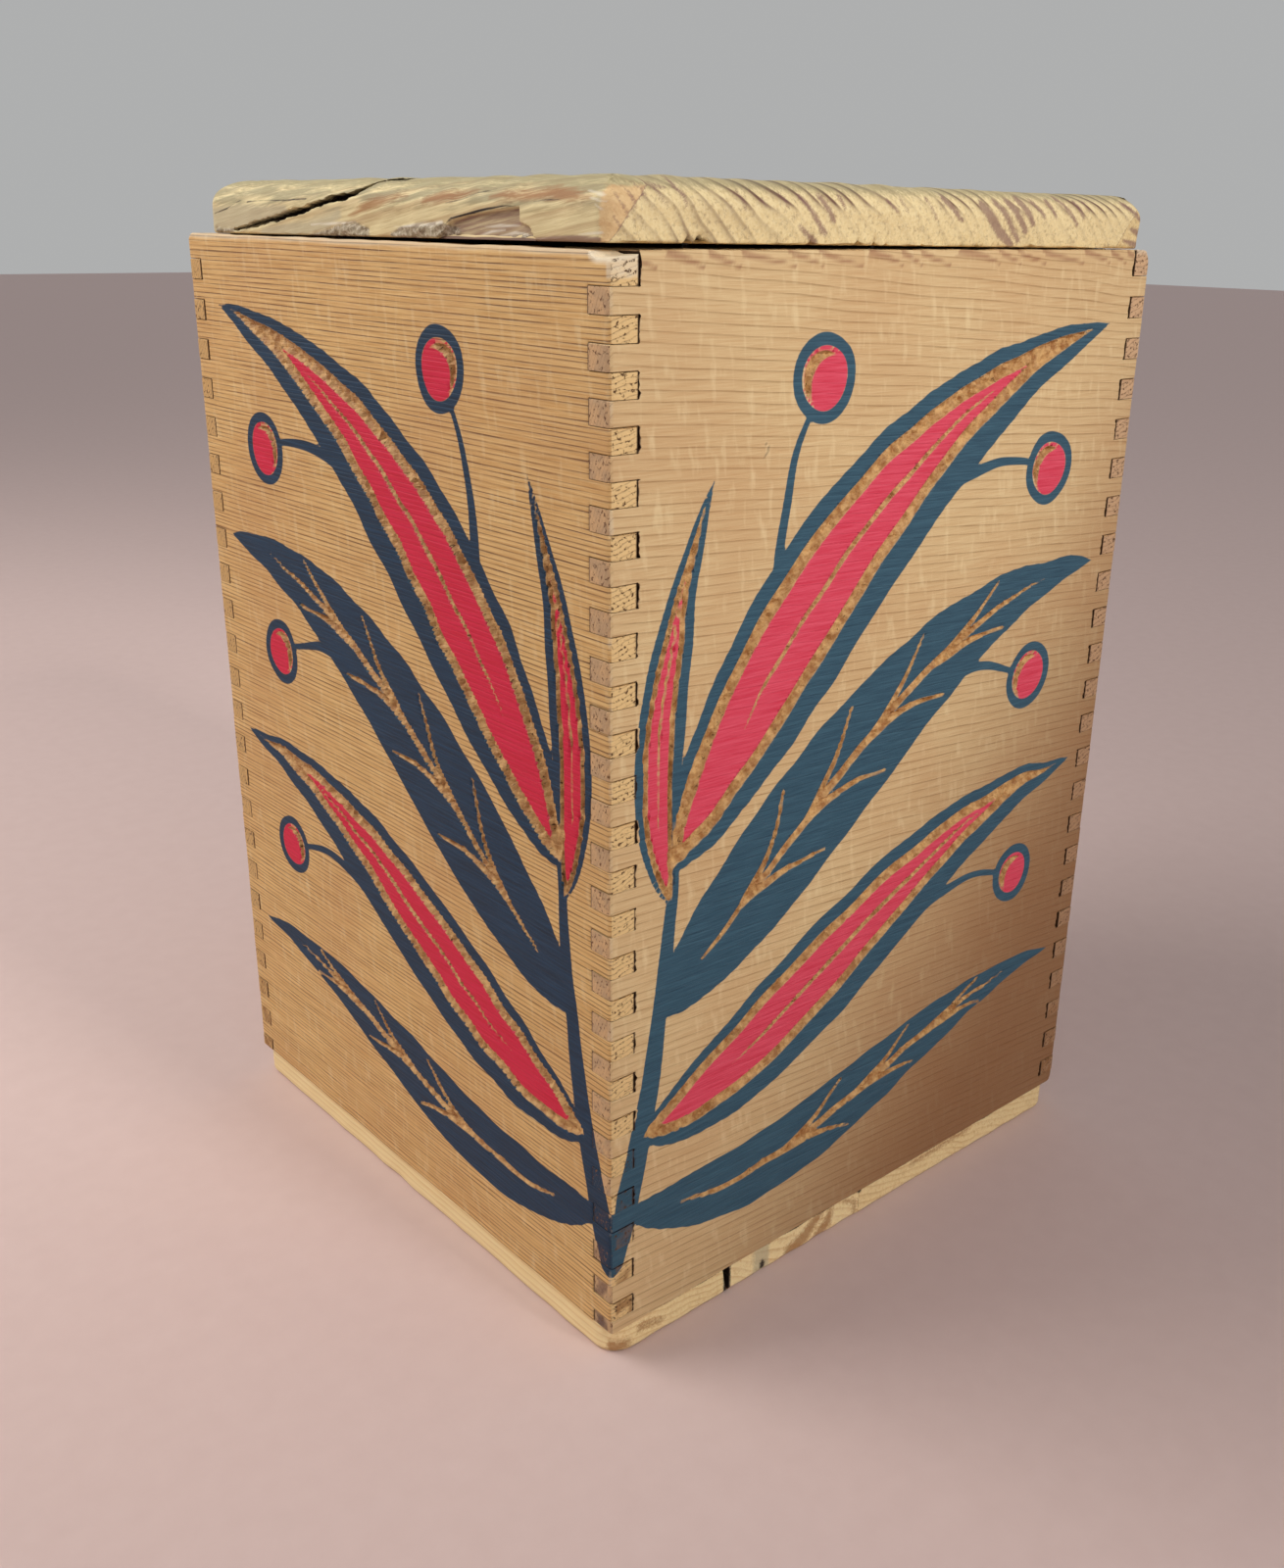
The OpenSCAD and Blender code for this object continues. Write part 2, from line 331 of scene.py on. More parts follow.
# Marks on the front ends: x and z in mm along each, then half widths
BASE_MARKS = {
    "amber": ([([(-34, 2), (-27, 4), (-20, 9)], [2.5, 3.2, 2.0]),
               ([(-20, 1), (-16, 4), (-14, 9)], [2.4, 2.6, 1.4]),
               ([(-109, 2), (-104, 3)], [3, 2]), ([(-98, 6.5), (-90, 4.5)], [1.6, 1.2]),
               ([(28, 8), (60, 9)], [1, 1]), ([(-7, 9), (-2, 6), (-2, 1)], [0.8, 1.2, 0.8])], 4),
    "silver": ([([(-46.7, -3), (-46.7, 13)], [3.9, 3.6])], 1.2),
    "dark": ([([(-46.9, 2.0), (-46.4, 4.2)], [0.8, 0.6]), ([(-1.5, 10.4), (0.4, 9.6)], [0.5, 0.9])], 0.8),
}
for plank, (pale, deep, streak, ring, lean) in BASE_WOODS.items():
    lo, hi = (np.array(c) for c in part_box(plank))
    points, quads = box_shell(spaced(lo[0], hi[0], 2.0 * MM, 9 * MM, 0.7 * MM), base_ys, base_zs)
    points = rounded(points, base_lo, base_hi, BASE_CORNER, BASE_EDGES)
    height = (points[:, 2] - lo[2]) / (hi[2] - lo[2])
    if plank == "base_plank_left":
        at_gap = unit((points[:, 0] - hi[0]) / OPEN_REACH + 1)
        at_gap *= 0.9 + 0.25 * waves(points, 7 * MM, 5)
        points[:, 0] += MM * at_gap * (GAP_FOOT - (GAP_FOOT + GAP_TOP) * height)
    uneven = np.stack([waves(points, 16 * MM, seed) for seed in (11, 12, 13)], 1)
    points += BASE_WEAR * uneven * np.array([1, 1, 0.4]) * (points[:, 2:] > base_lo[2] + 0.3 * MM)
    x, y, z = (points / MM).T
    front = unit((base_lo[1] / MM + BASE_FRONT - y) / 2)
    stains = {label: front * marked(x, z, *marks) for label, marks in BASE_MARKS.items()}
    to_joint = np.minimum(np.abs(x - lo[0] / MM), np.abs(x - hi[0] / MM))
    to_joint += np.where(np.abs(x) > base_hi[0] / MM - END_REACH, END_REACH, 0)
    closed = np.abs(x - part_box("base_plank_right")[0].x / MM) < 4
    in_joint = mark(to_joint - SOIL_AND_SHADE_WIDTH, 0.8) * np.where(closed, CLOSED_SOIL, 1)
    in_joint *= z > base_lo[2] / MM + 0.5
    # A painted shadow line along the top of the front ends, under the wall above
    shade_under_wall = front * mark(hi[2] / MM - SOIL_AND_SHADE_WIDTH - z, 0.5)
    stains["dark"] = np.max([stains["dark"], in_joint, shade_under_wall], 0)
    wood = softwood("sawn_softwood_" + plank, pale, deep, streak, ring, lean)
    mesh_piece(plank + "_board", points, quads.tolist(), wood, "box", plank, fields=stains)


# Nails in the base
# Drawn steel wire nails with flat heads, driven up through the planks into the walls and set a
# little below the wood.
def nail_metal(name):
    """Bright-drawn steel wire gone dull: grey metal, blotched brown where rust has started."""
    material, add = new_material(name)
    coord = add("TexCoord")
    spots = add("TexNoise", {"Vector": coord, "Scale": 1 / (1.5 * MM), "Detail": 4.0})
    rust = add("MapRange", {"Value": spots, "From Min": 0.48, "From Max": 0.62})
    colour = add("Mix", {0: rust, 6: "#8d8a86", 7: "#6a4a35"})
    metal = add("MapRange", {"Value": rust, "To Min": 1.0, "To Max": 0.25})
    rough = add("MapRange", {"Value": rust, "To Min": 0.38, "To Max": 0.75})
    shader = add("BsdfPrincipled", {"Base Color": colour, "Metallic": metal, "Roughness": rough})
    add("OutputMaterial", {"Surface": shader})
    return material


def dress(names, material):
    """Gives a material to CAD nodes that are shown as they are."""
    for name in names:
        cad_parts[name].data.materials.clear()
        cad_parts[name].data.materials.append(material)


dress(("base_nails", "cleat_nails"), nail_metal("dull_steel_wire"))


# Carved walls
# Four planed cedar boards with level grain, finger-jointed and glued at the corners. The two boards
# at the front corner are carved with gouged grooves and painted blue-black and red: on both faces a
# stem rises from the foot of the corner, with leaves and berries.
wall_lo = np.array(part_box("left_wall")[0]) / MM
wall_hi = np.array(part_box("right_wall")[1]) / MM
WALL_W = wall_hi[0] - wall_lo[0]
WALL_H = wall_hi[2] - wall_lo[2]
WALL_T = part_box("left_wall")[1].x / MM - wall_lo[0]
LOW_FINGER, FINGER = 4.5, 6.35
FINGERS = 1 + int((WALL_H - LOW_FINGER) / FINGER)
finger_feet = np.r_[0, LOW_FINGER + FINGER * np.arange(FINGERS - 1)]
finger_heads = np.r_[finger_feet[1:], WALL_H]


def curve(start, first, second, end, count=41):
    """Points along the cubic curve that leaves start towards first and reaches end from second."""
    a, b, c, d = (np.array(p, float) for p in (start, first, second, end))
    t = np.linspace(0, 1, count)[:, None]
    return (1 - t) ** 3 * a + 3 * t * (1 - t) ** 2 * b + 3 * t * t * (1 - t) * c + t ** 3 * d


def left_of(spine):
    """Unit vectors square to a spine, to the left of its direction."""
    along = np.gradient(spine, axis=0)
    along /= np.linalg.norm(along, axis=1)[:, None]
    return np.stack([-along[:, 1], along[:, 0]], 1)


def swell(count, width, fullest=0.75, body=0.85):
    """Half widths of a leaf along its spine: the sine of half a turn, drawn towards the stem end."""
    return width * np.sin(np.pi * np.linspace(0, 1, count) ** fullest) ** body


def framed_leaf(u, v, spine, width, low, high, groove, slit):
    """A leaf with a painted frame, a gouged groove inside it and a red blade split by a bare rib.
    Each is a stroke on the same spine; the frame is low mm thick below and high mm above."""
    taper = np.sin(np.pi * np.linspace(0, 1, len(spine))) ** 0.5
    half = swell(len(spine), width)
    shifted = spine + left_of(spine) * (taper * (low - high) / 2)[:, None]
    inner_half = np.maximum(half - taper * (low + high) / 2, -2)
    inner = stroke(u, v, shifted, inner_half)
    blade = stroke(u, v, shifted, np.maximum(inner_half - groove, -2))
    rib = shifted[8:33]
    blade = np.maximum(blade, -stroke(u, v, rib, slit * np.sin(np.linspace(0, np.pi, len(rib))) ** 0.5))
    return np.maximum(stroke(u, v, spine, half), -inner), blade, np.maximum(inner, -blade)


def veined_leaf(u, v, spine, width, vein_places):
    """A leaf painted solid, with its midrib and paired side veins cut through the paint. A vein leaves
    the midrib along it and curves out to four fifths of the leaf's half width."""
    half = swell(len(spine), width, 0.7, 0.8)
    square = left_of(spine)
    rib = spine[4:37]
    cut = stroke(u, v, rib, 1.5 * np.sin(np.linspace(0.15, np.pi, len(rib))) ** 0.6)
    for place in vein_places:
        root, far = spine[place], place + 6
        for side in (-1, 1):
            tip = spine[far] + side * 0.8 * half[far] * square[far]
            bend = (root + tip) / 2 + 0.25 * (spine[place + 4] - root)
            vein = curve(root, (root + bend) / 2 + 1.5 * (spine[place + 1] - root), bend, tip, 13)
            cut = np.minimum(cut, stroke(u, v, vein, np.linspace(1.4, 0.5, len(vein))))
    leaf = stroke(u, v, spine, half)
    return np.maximum(leaf, -cut), FAR, np.maximum(cut, leaf + 1.0)


def berry(u, v, stalk, radius):
    """A round berry on a tapering stalk: a painted ring, red inside, with a gouged crescent."""
    x, y = stalk[-1] + radius * 1.15 * (stalk[-1] - stalk[-2]) / np.linalg.norm(stalk[-1] - stalk[-2])
    disc = np.hypot(u - x, v - y) - radius
    crescent = np.maximum(np.hypot(u - x + 0.5, v - y) - radius + 1.2,
                          radius - 0.6 - np.hypot(u - x - 2.6, v - y + 2.2))
    stem = stroke(u, v, stalk, np.linspace(2.2, 0.9, len(stalk)))
    ink = np.minimum(stem, disc - 3.2)
    return np.maximum(ink, -disc), np.maximum(disc, -crescent), crescent


STEM = curve((0, 26), (9, 50), (19, 92), (22, 146))
STEM_HALVES = np.linspace(5.5, 1.8, len(STEM))
# Each leaf's spine and half width; then a frame's thickness below and above, its groove and its rib
FRAMED_LEAVES = [
    (curve((22, 146), (62, 200), (105, 262), (203, 283)), 22, 9.0, 5.5, 4.2, 0.9),
    (curve((12, 64), (72, 70), (125, 132), (208, 136)), 19, 8.5, 5.0, 3.8, 0.9),
    (curve((21, 136), (12, 168), (16, 206), (34, 250)), 8.5, 3.4, 3.0, 1.8, 0.5),
]
# Or the places of its side veins along the spine
VEINED_LEAVES = [
    (curve((18, 104), (70, 136), (120, 204), (208, 207)), 19, (8, 14, 20, 26)),
    (curve((6, 40), (80, 14), (125, 62), (207, 62)), 13, (13, 20, 27)),
]
# Each berry's stalk and radius
BERRIES = [
    (curve((128, 239), (142, 244), (156, 245), (168, 242), 21), 8.5),
    (curve((58, 216), (58, 236), (61, 252), (68, 264), 21), 8.5),
    (curve((131, 176), (143, 181), (156, 180), (169, 175), 21), 8.0),
    (curve((124, 96), (140, 106), (156, 107), (172, 102), 21), 7.5),
]


def leaf_panel(u, v):
    """Signed distances, in mm, to the blue-black paint, the red paint and the carved grooves of one
    face. u runs from the front corner along the board and v up from its foot. Nothing is carved across
    the fingers, and no paint lies in a groove."""
    ink = stroke(u, v, STEM, STEM_HALVES)
    red = cut = np.full(u.shape, FAR)
    for shape, sizes in ((framed_leaf, FRAMED_LEAVES), (veined_leaf, VEINED_LEAVES), (berry, BERRIES)):
        for size in sizes:
            ink, red, cut = map(np.minimum, (ink, red, cut), shape(u, v, *size))
    cut = np.maximum(cut, WALL_T + 2 - u)
    return np.maximum(ink, -cut), red, cut


# Rounding of the arris, easing of the fingers' edges and of the rim
ARRIS = 1.2
EASE = 0.3
FINGER_DIP = 0.16
RIM_ROUND = 1.5
# Grid lines up each finger, and steps along a carved board and a plain one
FINGER_ROWS = 7
PER_FINGER = FINGER_ROWS + 1
CARVED_STEP, PLAIN_STEP = 1.0, 6.0
# Two lengths closer than this are the same
SAME = 0.01
# Depths at which a board's border is repeated on the way back to its inner face
WALL_DEPTHS = np.array([2.4, 4.2, 6.0, WALL_T - 0.5, WALL_T - 0.03, WALL_T])
# The depth of the grooves, the width of their sloping sides, and how uneven the gouge leaves them
GROOVE = 1.35
GROOVE_WALL = 0.8
CHATTER = 0.3
# How far the carver's hand wanders, in full from this far off the corner
HAND, HAND_FROM = 0.35, 30.0
# Grid points this close to a groove's edge slide onto it
SNAP = 0.45
# How uneven the planed face and the rim are
PLANED = 0.07
RIM_UNEVEN = 0.12
# The least and the most that fingers stand proud, and the height up to which some are sunk
PROUD = (-0.12, 0.16)
SUNK_TO = 70.0
# How far along the board the wood is drawn aside for a gap in a joint, and the least gap
GAP_REACH = 3.0
LEAST_GAP = 0.08
# Rounding of the rim at its right and far left corners, and of the foot at the right corner, which is
# gone this far along the board, after a fade
RIM_WEAR = (5.0, 3.0)
FOOT_WEAR = 3.5
WEAR_REACH, WEAR_FADE = 16.0, 8.0
# The distance to paint that stands for none near
UNPAINTED = 9.0
# Dirt in the level lines of the joints, how pale the rim is (rubbed, with a painted highlight), and how
# pale the arris is rubbed
LEVEL_SOIL = 0.5
RIM_HIGHLIGHT_AND_RUB = 0.6
ARRIS_PALE = 0.32
# Heights on the lowest finger ends, and how stained they are there
LOW_STAIN = ([0, 22, 42, 62], [1.0, 0.75, 0.45, 0.0])
# Streaks of brown wood come in from the rim of the front board about this far apart, and fall this far
STREAK = 14.0
STREAK_FALL = 3.5
# A nick in the front board's bare wood: u and v along it, its half widths, and how dark it is
NICK = ([(51.0, 258.0), (52.6, 256.4), (52.4, 255.0), (51.0, 253.4)], [0.2, 0.5, 0.5, 0.2])
NICK_SOIL = 0.7
UPRIGHT = np.array([0, 0, 1.0])


def board_lines(step):
    """Grid lines of a wall board, u along it and v up it, and how many steps of u a finger is long. They
    lie closer together at the arris and beside every joint."""
    rise = EASE + (finger_heads - finger_feet - 2 * EASE)[:, None] * np.linspace(0, 1, FINGER_ROWS)
    v_lines = np.r_[(finger_feet[:, None] + np.c_[np.zeros(FINGERS), rise]).ravel(), WALL_H]
    end = np.r_[0, EASE, 0.7, ARRIS, np.linspace(2 * ARRIS, WALL_T - EASE, 5), WALL_T]
    inner = np.linspace(WALL_T + EASE, WALL_W - WALL_T - EASE, round((WALL_W - 2 * WALL_T) / step))
    return np.r_[end, inner, WALL_W - end[::-1]], v_lines, len(end) - 1


def board_border(index, owned, zone):
    """Grid points round the edge of a jointed board, against the clock from its foot. Up each end the
    path steps in at every socket and out at every finger that the board owns."""
    last = index.shape[1] - 1
    ends = []
    for outer, root in ((0, zone), (last, last - zone)):
        path = []
        for j, own in enumerate(owned):
            column, before = (outer if own else root), (outer if owned[j - 1] else root)
            if j and column != before:
                way = 1 if column > before else -1
                path.append(index[j * PER_FINGER, np.arange(before, column + way, way)])
            path.append(index[j * PER_FINGER:(j + 1) * PER_FINGER + 1, column])
        ends.append(np.concatenate(path))
    left, right = ends
    foot = np.arange(left[0], right[0] + 1)
    head = np.arange(left[-1], right[-1] + 1)
    loop = np.concatenate([foot, right, head[::-1], left[::-1]])
    return loop[loop != np.roll(loop, 1)]


def board_faces(shape, owned, zone):
    """The grid points that a jointed board uses, its border, and its faces: the grid cells that are wood,
    walls from their border back to the last depth, and the inner face."""
    index = np.arange(np.prod(shape)).reshape(shape)
    wood = np.ones((shape[0] - 1, shape[1] - 1), bool)
    is_socket = ~owned[np.arange(shape[0] - 1) // PER_FINGER]
    wood[is_socket, :zone] = False
    wood[is_socket, -zone:] = False
    cells = np.stack([index[:-1, :-1], index[:-1, 1:], index[1:, 1:], index[1:, :-1]], -1)[wood]
    used = np.unique(cells)
    renumber = np.full(index.size, -1)
    renumber[used] = np.arange(len(used))
    loop = board_border(index, owned, zone)
    behind = len(used) + np.arange(WALL_DEPTHS.size * loop.size).reshape(WALL_DEPTHS.size, loop.size)
    rings = np.concatenate([renumber[loop][None], behind])
    ahead = np.roll(rings, -1, 1)
    walls = np.stack([rings[:-1], rings[1:], ahead[1:], ahead[:-1]], -1).reshape(-1, 4)
    return used, loop, renumber[cells].tolist() + walls.tolist() + [rings[-1, ::-1].tolist()]


def wear_corners(points):
    """Rounds off the outer corners of the rim and of the foot, in place: a square (a, b) is pressed to a
    quarter circle, as in rounded."""
    for i, j, end, wear in ((0, 1, 1, RIM_WEAR[0]), (1, 0, 1, RIM_WEAR[1]), (0, 1, -1, FOOT_WEAR)):
        limit = wall_hi[2] if end > 0 else wall_lo[2]
        a = unit((points[:, i] - wall_hi[i]) / wear + 1)
        b = unit(end * (points[:, 2] - limit) / wear + 1)
        near = wear * unit((wall_lo[j] + WEAR_REACH - points[:, j]) / WEAR_FADE)
        points[:, i] += near * a * (np.sqrt(1 - b * b / 2) - 1)
        points[:, 2] += end * near * b * (np.sqrt(1 - a * a / 2) - 1)


def wall_piece(node, corner, along, inward, owns_even, material, seed, carved=False, gap=0.4, gap_soil_and_shade=0.8,
               sunk=0.0, chip=0.0, rim_soil=0.0):
    """One wall board. Its outline is a rectangle with a socket at each end in place of every finger of
    the board beside it. The outer face is a height field on a grid of u along the board and v up it,
    with grid lines on every finger; walls run from its border back to a flat inner face. Grid points
    close to a groove's edge slide onto it, along the slope of the distance to that edge. The joints'
    upright lines are gap mm wide and dark as much as soil says, and the sides of the sockets and
    fingers are dark: dirt, and painted shade in the gaps. The lowest fingers' ends are sunk, and the
    top finger has lost a chip. Slanted streaks of brown wood, as strong as rim_soil, run in under the
    rim; the rim and the chip are pale, rubbed or torn wood with a painted highlight."""
    u_lines, v_lines, zone = board_lines(CARVED_STEP if carved else PLAIN_STEP)
    v, u = np.meshgrid(v_lines, u_lines, indexing="ij")
    owned = (np.arange(FINGERS) % 2 == 0) == owns_even

    # Which side of each grid row is wood at the board's ends, and where fingers and sockets meet
    row = np.arange(len(v_lines))
    finger = np.minimum(row // PER_FINGER, FINGERS - 1)
    above, below = owned[finger][:, None], owned[np.maximum(row - 1, 0) // PER_FINGER][:, None]
    at_end = np.minimum(u, WALL_W - u)
    in_zone = at_end < WALL_T + SAME
    level = in_zone & (above != below)
    by_socket = ~(above & below)
    socket_foot = (np.abs(at_end - WALL_T) < SAME) & by_socket
    towards = np.where(u < WALL_W / 2, 1.0, -1.0)

    # Paint and grooves
    spot = np.stack([u, v], -1)
    depth = PLANED * (1 + waves(spot, 45, seed))
    fields = {}
    if carved:
        steady = HAND * unit(u / HAND_FROM)
        hand_u, hand_v = steady * waves(spot, 26, seed + 1), steady * waves(spot, 26, seed + 2)
        cut = leaf_panel(u + hand_u, v + hand_v)[2]
        slope_v, slope_u = np.gradient(cut, v_lines, u_lines)
        close = (np.abs(cut) < SNAP) & (at_end > WALL_T + 1)
        u = u - np.where(close, cut * slope_u, 0)
        v = v - np.where(close, cut * slope_v, 0)
        fields = dict(zip(("ink", "red", "cut"), leaf_panel(u + hand_u, v + hand_v)))
        gouge = 1 + CHATTER * waves(np.stack([u, v], -1), 3.2, seed + 3, 15)
        depth += GROOVE * unit(-fields["cut"] / GROOVE_WALL) ** 0.8 * gouge

    # Worn arris and rim, eased finger edges, ends that stand a little proud, and gaps in the joints
    rng = np.random.default_rng(seed)
    to_arris = np.clip(ARRIS - at_end, 0, ARRIS)
    depth += ARRIS - np.sqrt(ARRIS ** 2 - to_arris ** 2)
    depth += np.where(level | socket_foot, FINGER_DIP, 0)
    depth += np.interp(v, [WALL_H - RIM_ROUND, WALL_H - EASE, WALL_H], [0, EASE, 2 * EASE])
    proud = rng.uniform(*PROUD, FINGERS) - sunk * unit(1 - finger_feet / SUNK_TO)
    u = u - towards * proud[finger][:, None] * unit(1 - at_end / ARRIS)
    ragged = gap * (rng.uniform(0.4, 0.9, FINGERS)[finger][:, None] + 0.4 * waves(spot, 1.5, seed + 4))
    drawn = unit(1 - (at_end - WALL_T) / GAP_REACH) * (at_end > WALL_T - SAME) * by_socket
    u = u + towards * np.maximum(ragged, LEAST_GAP) * drawn
    v = v + np.where(in_zone, LEAST_GAP * (above * 1.0 - below * 1.0), 0)
    crown = finger_feet[-1]
    v = v - unit((v - crown) / (WALL_H - crown)) * RIM_UNEVEN * (1 + waves(spot, 18, seed + 5))

    # Points: the outer face, then its border again at each depth. The chip leaves a slope that falls
    # outwards.
    used, loop, faces = board_faces(u.shape, owned, zone)
    copies = WALL_DEPTHS.size
    border_u, border_v = np.tile(u.ravel()[loop], copies), np.tile(v.ravel()[loop], copies)
    border_depth = np.repeat(WALL_DEPTHS, loop.size)

    def whole(face, border):
        """Values at all points of the board: those used of its face, then those of its border."""
        return np.concatenate([face.ravel()[used], border])

    all_u, all_v, all_depth = whole(u, border_u), whole(v, border_v), whole(depth, border_depth)
    flake = unit((WALL_T + 0.5 - all_u) / 3) * unit((all_v - crown) / (WALL_H - crown))
    all_v = all_v - chip * flake * (1 - 0.5 * all_depth / WALL_T)
    points = corner + np.outer(all_u, along) + np.outer(all_depth, inward) + np.outer(all_v, UPRIGHT)
    wear_corners(points)
    if np.cross(along, UPRIGHT) @ np.array(inward) > 0:
        faces = [face[::-1] for face in faces]

    # On a finger's end the paint is that of the face beside it, as far from the corner as it is deep
    tip = np.abs(border_u - WALL_W / 2) > WALL_W / 2 - ARRIS
    near_tip = tip & (border_u < ARRIS)
    beside = leaf_panel(border_depth, border_v) if carved else ()
    for label, side in zip(fields, beside):
        end_paint = np.where(near_tip & (border_depth < WALL_T), side, UNPAINTED)
        fields[label] = np.clip(whole(fields[label], end_paint), -UNPAINTED, UNPAINTED)

    # Dirt and painted shade lie in the joints: dark lines on every border between fingers, and dark colour
    # on the sides of the sockets and fingers, which stands for the shade in the gaps as well as dirt
    end_face = border_depth < WALL_T - 0.1
    loop_row = loop // len(u_lines)
    at_edge = np.tile((loop_row == 0) | (loop_row == len(v_lines) - 1), copies)
    end_dirt_and_shade = np.where(tip & end_face, LEVEL_SOIL * np.tile(level.ravel()[loop], copies), 1.0 - at_edge)
    face_dirt_and_shade = np.maximum(gap_soil_and_shade * socket_foot, LEVEL_SOIL * level)
    if rim_soil > 0:
        face_dirt_and_shade = np.maximum(face_dirt_and_shade, NICK_SOIL * mark(stroke(u, v, *NICK), 0.8))
    fields["dirt_and_shade"] = whole(face_dirt_and_shade, end_dirt_and_shade)

    # Stained lower ends, streaks under the rim, and wood rubbed pale on the arris; the rim and the chip are
    # pale too, partly rubbed or torn wood and partly a painted highlight
    blotch = unit(0.75 + 0.5 * waves(np.stack([border_depth, border_v], -1), 6, seed + 6))
    low_end = np.where(near_tip & end_face, np.interp(border_v, *LOW_STAIN) * blotch, 0.0)
    fields["stain"] = whole(np.zeros(u.shape), low_end)
    tooth = (u + 5 * waves(spot, 40, seed + 7)) / STREAK % 1
    streak = unit(1.3 - np.abs(WALL_H - v - 0.5 - STREAK_FALL * tooth) / (1.6 - tooth))
    fields["streak"] = whole(rim_soil * streak, np.zeros(border_v.size))
    at_rim = whole(np.repeat(v_lines, len(u_lines)), np.tile(v_lines[loop_row], copies))
    # Painted highlight, with rubbed or torn wood, along the rim and on the chip
    rim_highlight_tone = np.where(chip * flake > 0.3, 1.0, RIM_HIGHLIGHT_AND_RUB * (1 - rim_soil))
    rim = rim_highlight_tone * unit((at_rim - WALL_H + 2.5) / 2)
    patchy = 0.75 + 0.5 * waves(np.stack([all_u, all_v], 1), 24, seed + 8)
    rubbed = np.where(all_depth < ARRIS, ARRIS_PALE * patchy * unit(1.6 - all_u / ARRIS), 0)
    torn_end_and_highlight = min(chip, 0.7) * (all_u < ARRIS + 0.1) * unit((at_rim - crown - 1) / 2)
    fields["pale"] = np.max([rubbed, rim, torn_end_and_highlight], 0)
    return mesh_piece(node + "_board", points * MM, faces, material, "box", node, fields=fields)


# The latewood lines come and go in dashes about this far apart across the grain
DASH_WIDTH = 1.6 * MM
# The way along which the boards pale, up and to the left, and where along it they start and end to brown:
# partly the wood's own brown and partly painted shade
SHADE_AND_BROWN_WAY = (-0.8, 0.0, 0.6)
SHADE_AND_BROWN_FROM, SHADE_AND_BROWN_FULL = 110 * MM, -30 * MM


def cedar_grain(add, coord, axis, spacing, tilt, slope, waver, dash, line_width, contrast):
    """The latewood lines of straight-grained cedar: a saw wave across ring planes that tilt about the
    grain, kept near the end of each year. Gives the lines, the noise that breaks them up in dashes, the
    lines as broken up, and the fibre."""
    turn, squeeze, dash_squeeze = [0.0, 0.0, 0.0], [1.0, 1.0, 1.0], [1.0, 1.0, 1.0]
    turn[axis], turn[1 - axis] = tilt, slope
    squeeze[axis], dash_squeeze[axis] = GRAIN_SCALE, DASH_WIDTH / dash
    turned = add("Mapping", {"Vector": coord, "Rotation": turn})
    stretched = add("Mapping", {"Vector": turned, "Scale": squeeze})
    years = add("TexWave", {"Vector": stretched, "Scale": WAVE_TURN / spacing, "Distortion": waver,
                            "Detail": 3.0, "Detail Scale": 0.5, "Detail Roughness": 0.6},
                bands_direction="Z", wave_profile="SAW")
    line = add("ValToRGB", {"Fac": years})
    line_start, line_full = 1.02 - 2.2 * line_width, 0.97 - line_width / 2
    set_ramp(line, [(0.0, 0.4), (0.04, 0.0), (0.5, 0.03), (line_start, 0.2), (line_full, 1.0), (1.0, 0.9)])
    dashes = add("Mapping", {"Vector": turned, "Scale": dash_squeeze})
    broken = add("TexNoise", {"Vector": dashes, "Scale": 1 / DASH_WIDTH, "Detail": 4.0, "Roughness": 0.6})
    strength = add("MapRange", {"Value": broken, "From Min": 0.35, "From Max": 0.62,
                                "To Min": 0.28 * contrast, "To Max": contrast})
    dark = add("Math", {0: line, 1: strength}, operation="MULTIPLY")
    fibre = add("TexNoise", {"Vector": stretched, "Scale": 1 / (0.55 * MM), "Detail": 4.0,
                             "Roughness": 0.65})
    return line, broken, dark, fibre


def paint_coats(add, coord, surface, height, end_grain, brush, wobbling, paints):
    """Lays bare, chattered wood into the gouged grooves and paint beside them. Each of the paints has a
    field, its colours where the brush left it thick and thin, and its colour on the ends of the fingers,
    which belong to the face beside. Gives the surface and its height."""
    facets = add("TexNoise", {"Vector": coord, "Scale": 1 / (2.4 * MM), "Detail": 3.0, "Roughness": 0.55})
    chips = add("MapRange", {"Value": facets, "From Min": 0.35, "From Max": 0.65})
    bare = add("Mix", {0: chips, 6: "#a06c3a", 7: "#d6aa70"})
    groove = add("Attribute", attribute_name="cut")
    in_groove = add("MapRange", {"Value": groove, "From Min": 0.15, "From Max": -0.15})
    surface = add("Mix", {0: in_groove, 6: surface, 7: bare})
    for label, thick, thin, beside in paints:
        brushed = add("Mix", {0: brush, 6: thick, 7: thin})
        paint = add("Mix", {0: end_grain, 6: brushed, 7: beside})
        surface, _ = lay_on(add, surface, label, wobbling, 0.12, -0.12, 1.0, paint)
    chatter = add("Math", {0: chips, 1: in_groove}, operation="MULTIPLY")
    return surface, add("Math", {0: chatter, 1: 1.5, 2: height}, operation="MULTIPLY_ADD")


